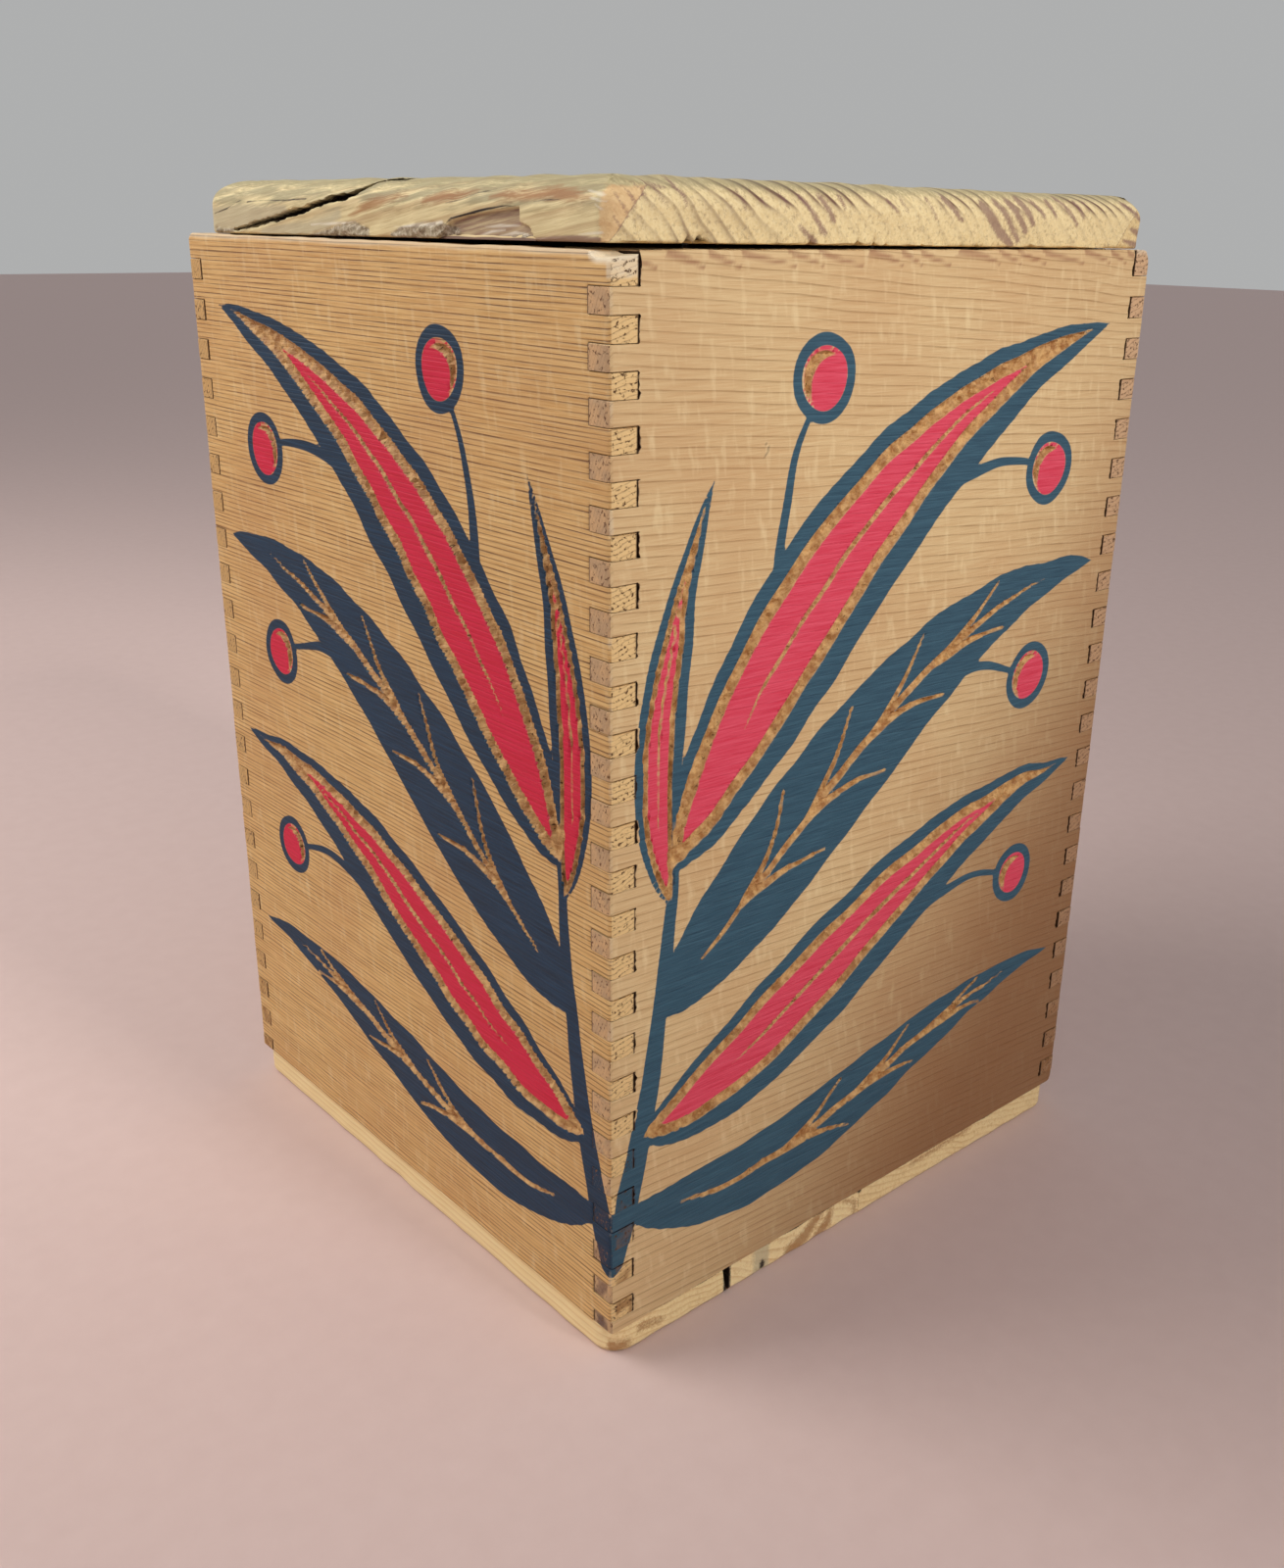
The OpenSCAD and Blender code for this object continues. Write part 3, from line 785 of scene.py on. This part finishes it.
def cedar(name, grain, pale, early, late, spacing, tilt, slope, waver, dash, line_width, contrast, fleck,
          foot, end_pale, end_dark, end_grey=0.1, dirt_and_shade=0.8, stain="#8f5c28", paints=()):
    """Planed red cedar: straight grain with thin dark broken latewood lines, fine fibre, pale upright
    flecks, and speckled end grain on the ends of the fingers, greyed by hands. The grain slopes and
    wavers along the board, which darkens to brown towards its right foot, partly the wood's own brown
    and partly painted shade. Painted boards add thin blue-black and red paint brushed along the grain,
    which shows through. The joints are dark with dirt and with painted shade in their gaps, and the
    rim is pale, rubbed and with a painted highlight."""
    material, add = new_material(name)
    axis = "XY".index(grain)
    coord = add("TexCoord")
    line, broken, dark, fibre = cedar_grain(add, coord, axis, spacing, tilt, slope, waver, dash,
                                            line_width, contrast)
    spread = add("MapRange", {"Value": fibre, "From Min": 0.3, "From Max": 0.7})
    body = add("Mix", {0: spread, 6: early, 7: pale})
    wood = add("Mix", {0: dark, 6: body, 7: late})
    cloud = add("TexNoise", {"Vector": coord, "Scale": 1 / (50 * MM), "Detail": 3.0})
    clouded = add("MapRange", {"Value": cloud, "From Min": 0.4, "From Max": 0.7, "To Max": 0.3})
    wood = add("Mix", {0: clouded, 6: wood, 7: "#b98050"})
    upright, lean = [1.0, 1.0, 0.28], [0.0, 0.0, 0.0]
    upright[1 - axis], lean[1 - axis] = 0.3, 0.12
    leaning = add("Mapping", {"Vector": coord, "Rotation": lean})
    ray_place = add("Mapping", {"Vector": leaning, "Scale": upright})
    rays = add("TexNoise", {"Vector": ray_place, "Scale": 1 / (3.0 * MM), "Detail": 2.0})
    flecks = add("MapRange", {"Value": rays, "From Min": 0.55, "From Max": 0.78, "To Max": fleck})
    wood = add("Mix", {0: flecks, 6: wood, 7: "#efd9ab"})

    # End grain on the fingers: paler, greyed by hands, with open pores
    end_grain = end_faces(add, axis, 0.6, 0.8)
    faint = add("Math", {0: dark, 1: 0.4}, operation="MULTIPLY")
    end_lines = add("Mix", {0: faint, 6: end_pale, 7: end_dark})
    smudge = add("TexNoise", {"Vector": coord, "Scale": 1 / (5 * MM), "Detail": 3.0})
    handled = add("MapRange", {"Value": smudge, "From Min": 0.42, "From Max": 0.6, "To Max": end_grey})
    end_wood = add("Mix", {0: handled, 6: end_lines, 7: "#93816f"})
    surface = add("Mix", {0: end_grain, 6: wood, 7: end_wood})
    # Darker and browner towards the right foot: partly the wood's own brown, partly painted shade
    rise = add("VectorMath", {0: coord, 1: SHADE_AND_BROWN_WAY}, operation="DOT_PRODUCT")
    low = add("MapRange", {"Value": rise, "From Min": SHADE_AND_BROWN_FROM, "From Max": SHADE_AND_BROWN_FULL, "To Max": foot},
              interpolation_type="SMOOTHSTEP")
    surface = add("Mix", {0: low, 6: surface, 7: "#7a4521"})

    # Paint, then stains, rubbed wood and the rim's painted highlight, and dirt with painted shade in the
    # joints, with edges that follow the dashes
    height = add("Math", {0: dark, 1: -1.3, 2: fibre}, operation="MULTIPLY_ADD")
    wobbling = add("MapRange", {"Value": broken, "To Min": -0.22, "To Max": 0.22})
    if paints:
        surface, height = paint_coats(add, coord, surface, height, end_grain, spread, wobbling, paints)
    for label, tone, share in (("stain", stain, 0.8), ("streak", "#8a5038", 0.65), ("pale", "#ecdfc6", 0.85)):
        surface, _ = lay_on(add, surface, label, wobbling, 0.25, 0.95, share, tone)
    # Dark in the joints: dirt, and painted shade on the sides of the sockets and fingers
    dirt_and_shade_field = add("Attribute", attribute_name="dirt_and_shade")
    dirt_and_shade_mask = add("MapRange", {"Value": dirt_and_shade_field, "From Min": 0.25, "From Max": 0.9, "To Max": dirt_and_shade})
    surface = add("Mix", {0: dirt_and_shade_mask, 6: surface, 7: "#371d11"})
    pores = add("TexNoise", {"Vector": coord, "Scale": 1 / (1.2 * MM), "Detail": 4.0, "Roughness": 0.65})
    loose = add("Math", {0: line, 1: 0.05, 2: pores}, operation="MULTIPLY_ADD")
    pits = add("MapRange", {"Value": loose, "From Min": 0.58, "From Max": 0.66})
    pitted = add("Math", {0: pits, 1: end_grain}, operation="MULTIPLY")
    surface = add("Mix", {0: pitted, 6: surface, 7: end_dark})
    pit_height = add("Math", {0: pitted, 1: -3.0, 2: height}, operation="MULTIPLY_ADD")
    bump = add("Bump", {"Height": pit_height, "Strength": 0.6, "Distance": 0.25 * MM})
    shader = add("BsdfPrincipled", {"Base Color": surface, "Normal": bump, "Roughness": 0.58, "IOR": 1.42})
    add("OutputMaterial", {"Surface": shader})
    return material


# The same red and blue-black are darker on the left board and lighter on the front one: partly a thicker coat
# on the left, partly painted shade on the left and a painted sheen on the front. The finger ends take the
# colours of the face beside.
ridged = cedar("ridged_cedar_painted", "Y", pale="#ebc486", early="#cb9b5c", late="#5f3818",
               spacing=1.4 * MM, tilt=0.25, slope=0.0, waver=7.5, dash=26 * MM, line_width=0.15,
               contrast=0.95, fleck=0.3, foot=0.0, end_pale="#e7c38a", end_dark="#5a3716", end_grey=0.0,
               dirt_and_shade=0.75,
               paints=(("red", "#c80c30", "#d81c48", "#da405a"), ("ink", "#052036", "#143a58", "#2c5064")))
smooth = cedar("smooth_cedar_painted", "X", pale="#e1c596", early="#d0ad7e", late="#8d6638",
               spacing=1.1 * MM, tilt=1.15, slope=-0.03, waver=2.0, dash=50 * MM, line_width=0.1,
               contrast=0.55, fleck=0.5, foot=0.78, end_pale="#d2a97c", end_dark="#7a5230", end_grey=0.35,
               dirt_and_shade=0.95, stain="#4b3238",
               paints=(("red", "#d02c48", "#e4556d", "#d0143c"), ("ink", "#23455a", "#3a6074", "#0e304a")))
bare_side = cedar("bare_cedar_side", "Y", pale="#dfb980", early="#bd8d55", late="#6a4020",
                  spacing=1.6 * MM, tilt=0.3, slope=0.01, waver=8.0, dash=24 * MM, line_width=0.16,
                  contrast=0.9, fleck=0.25, foot=0.5, end_pale="#d3ac85", end_dark="#5a3716")
bare_back = cedar("bare_cedar_back", "X", pale="#dcbb8b", early="#c8a06d", late="#8a5b32",
                  spacing=1.4 * MM, tilt=0.9, slope=0.01, waver=6.0, dash=25 * MM, line_width=0.14,
                  contrast=0.8, fleck=0.2, foot=0.1, end_pale="#cfa468", end_dark="#6e4826")
along_x, along_y = (1, 0, 0), (0, 1, 0)
right_foot, back_foot = wall_lo + [WALL_W, 0, 0], wall_lo + [0, WALL_W, 0]
wall_piece("left_wall", wall_lo, along_y, along_x, False, ridged, 21, carved=True, gap=0.15, gap_soil_and_shade=0.3,
           chip=2.0)
wall_piece("front_wall", wall_lo, along_x, along_y, True, smooth, 31, carved=True, gap=1.0, gap_soil_and_shade=1.0,
           sunk=0.6, rim_soil=0.9)
wall_piece("right_wall", right_foot, along_y, (-1, 0, 0), False, bare_side, 41)
wall_piece("back_wall", back_foot, along_x, (0, -1, 0), True, bare_back, 51)


# Lid boards
# Three resinous softwood boards with the grain from front to back, edge-glued on leaning joints.
# The upper edges are rounded over; the left edge has a deep drying crack and torn, grey patches.
lid_lo = np.array(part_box("lid_left_strip")[0])
lid_hi = np.array([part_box("lid_right_strip")[1].x, *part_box("lid_centre_board")[1][1:]])
lid_mid = (lid_lo + lid_hi) / 2
left_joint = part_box("lid_centre_board")[0].x
right_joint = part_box("lid_right_strip")[0].x
joint_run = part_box("lid_left_strip")[1].x - left_joint
# The upper edges, then the lower ones
LID_EDGES = ((1, 10.0 * MM, 8.0 * MM), (-1, 1.0 * MM, 0.8 * MM))
# Rounding of the upright corners: front left, front right, back left, back right
LID_CORNERS = np.array([4.0, 4.5, 13.0, 8.0]) * MM
LID_WEAR = 0.22 * MM
GLUE = 0.05 * MM
# How far the warped lid stands off the rim everywhere, and further at its front left corner
LID_SEAT, LID_WARP = 0.1 * MM, 1.3 * MM
# Each board's foot on the left and on the right, how far those sides lean over, and its grid steps
LID_BOARDS = {
    "lid_left_strip": (lid_lo[0], 0.0, left_joint - GLUE, joint_run, 1.0 * MM, 0.8 * MM, 0.3 * MM),
    "lid_centre_board": (left_joint, joint_run, right_joint - GLUE, joint_run, 0.8 * MM, 4 * MM, 0.5 * MM),
    "lid_right_strip": (right_joint, joint_run, lid_hi[0], 0.0, 0.6 * MM, 4 * MM, 0.5 * MM),
}
LID_WOODS = {
    "lid_left_strip": softwood("knotty_softwood", "#ecdcab", "#d0bb8a", "#9a6a3e", ring=4.6 * MM, lean=1.05,
                               slope=0.15, bold=0.4),
    "lid_centre_board": softwood("ringed_softwood", "#f0dcac", "#e2c994", "#71503f", ring=4.6 * MM, lean=0.8,
                                 bold=1.2),
    "lid_right_strip": softwood("ringed_softwood_strip", "#ead3a0", "#d9bb84", "#85603f", ring=4.0 * MM,
                                lean=0.8, bold=0.7),
}
# The crack on the left edge: y and the height on the lid in mm along it, and its half widths
CRACK = [(78.5, 1.5), (72, 2), (62.5, 3.5), (47, 5.5), (31.5, 8), (18, 10.5), (10.5, 11),
         (4, 13), (-1.5, 15), (-6, 15.5), (-14, 15.5)]
CRACK_HALF = [0.1, 0.5, 0.9, 1.0, 0.9, 1.1, 1.0, 0.6, 0.5, 0.3, 0.2]
CRACK_DEPTH = 4.5
# A sliver has split off the left edge below this line of y and height, which leaves a hollow
SPLIT_Y = [-79.5, -77.5, -73.5, -73, -67, -58, -51, -44, -37]
SPLIT_UP = [1.5, 4.5, 5.5, 9, 8.5, 7.5, 7, 5.5, 1]
SPLIT_DEPTH = 1.4
TEAR_DEPTH = 0.35
# Above this height the left edge has weathered to olive streaks
UPPER_SIDE = 6.0
# Marks on the left edge: y and height in mm along each, then half widths
SIDE_MARKS = {
    "silver": ([([(92, 4), (76, 5), (58, 6), (45, 7)], [4, 4, 3, 2]),
                ([(60, 1), (45, 1.5), (32, 2.5), (20, 4.5), (13, 6.5)], [1.5, 2, 2.2, 2.2, 1.5])], 3),
    "amber": ([([(7.5, 6), (0.5, 8), (-6.5, 9.5), (-14.5, 10.5), (-22, 11.5)],
                [0.2, 1.1, 1.6, 1.1, 0.3]),
               ([(-31, 10), (-38, 11), (-46.5, 11.5), (-55, 12.5)], [0.8, 1.6, 1.1, 0.3]),
               ([(-61, 11), (-67, 11.5), (-73.5, 11.5), (-79.5, 11.5)], [0.5, 1.2, 1.3, 1.2]),
               ([(-79.5, 11.5), (-86, 12), (-93.5, 11.5), (-100.5, 11)], [1.3, 1.7, 1.5, 0.6])], 2.8),
    "plum": ([([(-80, 1.5), (-95, 2), (-104, 2)], [0.5, 0.9, 0.7])], 0.8),
    "torn": ([([(91, 1), (79.5, 1)], [0.9, 0.6]),
              ([(31, 0.5), (20.5, 1), (11.5, 2), (5, 2.5), (-1.5, 1.5)], [0.5, 1.2, 1.9, 2.2, 1.6]),
              ([(-15, 1.5), (-20, 2), (-27.5, 2.5), (-34.5, 3), (-40, 3), (-45, 2.5)],
               [0.6, 1.8, 1.8, 1.9, 2.0, 1.2]),
              ([(-68, 1.5), (-74, 2), (-78.5, 1.5)], [0.6, 1.0, 0.5])], 1.2),
    "pale": ([([(-99, 12.5), (-105, 11.5)], [0.1, 0.35]), ([(-100.5, 11), (-106, 10)], [0.1, 0.4]),
              ([(-103, 9.5), (-106, 8)], [0.1, 0.3]), ([(-97, 3), (-105, 3.5)], [0.1, 0.35]),
              ([(-53, 1.5), (-60, 3), (-66, 3.5)], [0.1, 0.4, 0.15]),
              ([(-57, 4), (-64, 4.5), (-72, 4.5)], [0.1, 0.4, 0.15]),
              ([(-63, 2), (-70, 3), (-76, 2.5)], [0.1, 0.4, 0.1]),
              ([(30, 3.5), (17, 4), (4, 4.5)], [0.1, 0.4, 0.2]),
              ([(-16, 3.5), (-26, 4), (-40, 5)], [0.1, 0.4, 0.5])], 1.0),
    "dark": ([([(70, 9.5), (59.5, 10), (45.5, 10), (32.5, 10.5)], [0.25, 0.1, 0.2, 0.2]),
              ([(91.5, 6), (83, 7.5), (74, 10)], [0.15, 0.2, 0.1]),
              ([(-41, 9.5), (-48.5, 10.5), (-55.5, 12), (-62, 13)], [0.05, 0.15, 0.15, 0.05]),
              ([(-79.5, 10), (-84.5, 10.5), (-89.5, 10.5)], [0.1, 0.15, 0.05]),
              # The next dark stroke is painted shadow along the upper edge of the split's hollow
              ([(-40, 3.5), (-44, 6), (-58, 8), (-67, 9), (-72, 9)],
               [0.1, 0.25, 0.3, 0.2, 0.1])], 0.5),
}
# Dark latewood on the front ends, where the rings lean: x and height in mm along each, then half widths
FRONT_BANDS = [
    ([(-98.5, 14.5), (-97, 13), (-96.5, 11)], [0.2, 0.45, 0.3]), ([(-106.5, 7), (-105, 5)], [0.1, 0.2]),
    ([(-102.5, 13.5), (-101, 11.5), (-100.5, 9)], [0.2, 0.5, 0.4]),
    ([(-106, 12.5), (-104, 9), (-102.5, 7)], [0.1, 0.3, 0.2]),
    ([(-93.5, 14), (-92, 11.5), (-90.5, 9)], [0.4, 0.4, 0.1]), ([(-92.5, 14), (-89.5, 13.5)], [0.4, 0.2]),
    ([(-85.5, 16), (-86, 13.5), (-85, 12), (-84.5, 9.5)], [0.4, 0.7, 0.6, 0.3]),
    ([(-66.5, 13), (-65.5, 9)], [0.5, 0.3]), ([(-58.5, 11.5), (-58, 10)], [0.4, 0.3]),
    ([(-52, 13), (-50.5, 10)], [0.4, 0.3]), ([(-45, 12.5), (-37, 4)], [0.7, 0.9]),
    ([(-37.5, 12.5), (-33.5, 7)], [0.9, 0.8]), ([(-46.5, 5.5), (-40.5, 1.5)], [0.6, 0.9]),
    ([(-30.5, 12.5), (-29.5, 10)], [0.7, 0.5]), ([(-12, 12), (-9, 9.5)], [0.6, 0.4]),
    ([(-6, 12.5), (-5, 9.5)], [0.5, 0.4]), ([(4.5, 13), (7.5, 8)], [0.5, 0.4]),
    ([(12, 13), (18.5, 7.5)], [1.1, 0.6]), ([(28.5, 11.5), (36, 4.5), (41.5, 1.5)], [1.5, 1.5, 1.2]),
    ([(35, 12.5), (45, 2.5)], [1, 1]), ([(41, 12.5), (48, 5)], [1.3, 1]),
    ([(46.5, 13), (51, 7)], [1.4, 0.9]), ([(53, 13), (57, 9)], [0.9, 0.7]),
    ([(60.5, 13), (63, 9)], [1, 0.6]), ([(67, 14), (73.5, 7)], [0.9, 0.7]),
    ([(74.5, 13), (77, 9)], [0.8, 0.6]), ([(79.5, 13.5), (80.5, 11)], [0.6, 0.4]),
    ([(100.5, 13), (106, 10)], [0.9, 0.6]), ([(102, 6), (109.5, 4.5)], [0.4, 1.3]),
    ([(103.5, 10), (109, 8.5)], [0.3, 1.0]),
    ([(99.5, 2.5), (108, 1)], [0.5, 1.2]),
]
# How much wider the bands are where weather has opened them, and how far the rings on top have faded
BAND_SPREAD = 1.15
TOP_FADE = 0.6
# Below this height they have faded on the front ends too
FRONT_FADE = 11.5
# Chips knocked from the lower front edge: x in mm and size
LID_CHIPS = [(-83.5, 1.2), (-80, 1.5), (-78, 1.1), (-41.5, 0.9), (-24, 0.9), (-17, 0.9), (-12.5, 0.6),
             (2, 0.6), (19.5, 0.5), (26, 0.5), (51.5, 0.7)]
# How deep the chips reach, and how far marks of the front and the left side reach over the rounded edges
CHIP_REACH = 4.0
FRONT_REACH, SIDE_REACH = 10.0, 11.0
# How dark the glue lines are on the front ends, and how wide the paler, warmer wood is at the front left
# corner: partly fresh end grain and partly painted light
GLUE_DARK = 0.95
FRESH_AND_LIT_WIDTH = 3.5
left_x, front_y, foot_z = lid_lo / MM
top_z = lid_hi[2] / MM
for board, (from_x, from_run, to_x, to_run, x_step, y_step, z_step) in LID_BOARDS.items():
    zs = spaced(lid_lo[2], lid_hi[2], z_step, 6 * MM, z_step)
    ys = spaced(lid_lo[1], lid_hi[1], y_step, 14 * MM, min(y_step, 0.8 * MM))
    share = np.linspace(0, 1, max(9, round((to_x - from_x + joint_run) / x_step)))
    points, quads = box_shell(share, ys, zs)
    height = (points[:, 2] - lid_lo[2]) / (lid_hi[2] - lid_lo[2])
    start, stop = from_x + from_run * height, to_x + to_run * height
    points[:, 0] = np.minimum(start + points[:, 0] * (stop - start), lid_hi[0])
    seams = np.array([left_joint, right_joint]) + joint_run * height[:, None]
    to_seam = np.abs(points[:, :1] - seams).min(1) / MM
    quarter = (points[:, 0] > lid_mid[0]) + 2 * (points[:, 1] > lid_mid[1])
    points = rounded(points, lid_lo, lid_hi, LID_CORNERS[quarter], LID_EDGES)
    uneven = np.stack([waves(points, 14 * MM, seed) for seed in (61, 62, 63)], 1)
    points += LID_WEAR * uneven * (points[:, 2:] > lid_lo[2] + 0.5 * MM)
    to_right, to_back, _ = ((points - lid_lo) / (lid_hi - lid_lo)).T
    points[:, 2] += LID_SEAT + LID_WARP * (1 - to_right) * (1 - to_back) * (1 - 0.4 * height)
    x, y, z = (points / MM).T
    up = z - foot_z
    front = unit((front_y + FRONT_REACH - y) / 2)
    low_front = unit((front_y + CHIP_REACH - y) / 2) * unit((CHIP_REACH - up) / 3)
    bite = np.max([size * np.exp(-((x - place) / (0.9 * size)) ** 2) for place, size in LID_CHIPS], 0)
    points[:, 1] += MM * low_front * bite
    points[:, 2] += MM * low_front * bite * 0.8
    stains = {"dark": low_front * unit(bite - 0.3)}
    bands = marked(x, up, [(band, np.multiply(half, BAND_SPREAD)) for band, half in FRONT_BANDS], 1.5)
    stains["plum"] = front * np.maximum(bands, GLUE_DARK * mark(to_seam - 0.1, 0.4))
    top = unit((z - top_z + 4) / 4)
    stains["olive"] = np.minimum(top, 0.9)
    front_fade = front * unit((FRONT_FADE - up) / 3) * np.interp(x, [-80, -50], [0.4, 0.85])
    stains["faded"] = np.maximum(front_fade, TOP_FADE * top * unit((y - front_y - 15) / 30))
    if board == "lid_left_strip":
        on_side = unit((left_x + SIDE_REACH - x) / 2) * unit((y - front_y - 0.5) / 2)
        side = {label: on_side * marked(y, up, *marks) for label, marks in SIDE_MARKS.items()}
        crack = stroke(y, up, CRACK, CRACK_HALF) + 0.25 * waves(np.stack([y, z], 1), 5, 65)
        split = on_side * unit((np.interp(y, SPLIT_Y, SPLIT_UP, -1, -1) - up) / 0.6)
        points[:, 0] += MM * on_side * CRACK_DEPTH * unit(-crack / 0.5)
        points[:, 0] += MM * (SPLIT_DEPTH * split + TEAR_DEPTH * side["torn"] * waves(points, 3 * MM, 64))
        # Inside the crack the wood is painted dark: painted shade in the deep slot
        side["dark"] = np.maximum(side["dark"], on_side * mark(crack + 0.1, 0.5))
        side["plum"] = np.maximum(side["plum"], 0.75 * split)
        # Paler and warmer at the front left corner: partly fresh end grain, partly painted light
        side["fresh_and_lit"] = unit((front_y + FRESH_AND_LIT_WIDTH - y) / 1.5)
        drift = 0.65 + 0.35 * waves(np.stack([y / 9, z + 0.12 * y], 1), 3.5, 66)
        side["olive"] = on_side * unit((up - UPPER_SIDE) / 4) * unit(drift)
        # The rings of this strip aren't faded
        stains = {label: np.maximum(stains.get(label, 0), values) for label, values in side.items()}
    mesh_piece(board + "_board", points, quads.tolist(), LID_WOODS[board], "lid", board,
               sharp=40, fields=stains)


# Lid cleats
# Two softwood battens nailed across the lid's grain underneath, with chamfers that lead them into
# the box. They keep the lid flat and in place.
cleat_wood = softwood("batten_softwood", "#e0c692", "#cfae78", "#a47748", ring=3.0 * MM, lean=0.3)
dress(("lid_cleat_front", "lid_cleat_back"), cleat_wood)


# Studio
# A plain pale floor, a large soft light from behind on the left, a narrower one from the front onto
# the upper part of the box, and the camera at the photograph's place.
FLOOR_HALF = 8.0
floor_mesh = bpy.data.meshes.new("studio_floor")
corners = np.array([[-1, -1, 0], [1, -1, 0], [1, 1, 0], [-1, 1, 0]]) * FLOOR_HALF
floor_mesh.from_pydata(corners.tolist(), [], [[0, 1, 2, 3]])
floor = bpy.data.objects.new("studio_floor", floor_mesh)
bpy.context.scene.collection.objects.link(floor)
paper, add = new_material("pale_paper_floor")
paper_coord = add("TexCoord")
mottle = add("TexNoise", {"Vector": paper_coord, "Scale": 1 / (9 * MM), "Detail": 4.0})
paper_tone = add("Mix", {0: mottle, 6: "#d0b7b3", 7: "#d7bfbb"})
paper_shader = add("BsdfPrincipled", {"Base Color": paper_tone, "Roughness": 0.8})
add("OutputMaterial", {"Surface": paper_shader})
floor_mesh.materials.append(paper)

sky = bpy.data.worlds.new("soft_room")
sky.use_nodes = True
sky.node_tree.nodes["Background"].inputs["Color"].default_value = linear("#e2e3e3")
sky.node_tree.nodes["Background"].inputs["Strength"].default_value = 0.56
bpy.context.scene.world = sky


def soft_light(name, place, aim, size, spread, power, tint):
    """A square area light at a place, facing its aim, with its beam spread over an angle in degrees."""
    lamp = bpy.data.lights.new(name, "AREA")
    lamp.size, lamp.spread, lamp.energy = size, np.radians(spread), power
    lamp.color = linear(tint)[:3]
    holder = bpy.data.objects.new(name, lamp)
    holder.location = place
    holder.rotation_euler = (Vector(aim) - Vector(place)).to_track_quat("-Z", "Y").to_euler()
    bpy.context.scene.collection.objects.link(holder)


box_middle = (cad_lo + cad_hi) / 2
upper_front = (0.0, wall_lo[1] * MM, 0.31)
soft_light("behind_left", (-0.75, 0.62, 1.1), box_middle, 0.8, 180, 11.5, "#fffaf2")
soft_light("front_high", (0.15, -1.4, 1.0), upper_front, 0.3, 30, 0.48, "#fffaf2")

camera_data = bpy.data.cameras.new("camera")
FOCAL_PIXELS = 1519.3
FRAME_LONG_SIDE = 1600
SENSOR = 36.0
camera_data.sensor_width = SENSOR
camera_data.lens = FOCAL_PIXELS / FRAME_LONG_SIDE * SENSOR
camera_data.shift_x = -36.0 / FRAME_LONG_SIDE
camera = bpy.data.objects.new("camera", camera_data)
CAMERA_PLACE = (-0.33492, -0.38756, 0.3217)
AZIMUTH, ELEVATION, ROLL = np.radians([-41.753, 20.779, 0.964])
camera.matrix_world = (Matrix.Translation(CAMERA_PLACE) @ Matrix.Rotation(AZIMUTH, 4, "Z")
                       @ Matrix.Rotation(np.pi / 2 - ELEVATION, 4, "X") @ Matrix.Rotation(ROLL, 4, "Z"))
bpy.context.scene.collection.objects.link(camera)
bpy.context.scene.camera = camera
bpy.context.scene.view_settings.view_transform = "Standard"
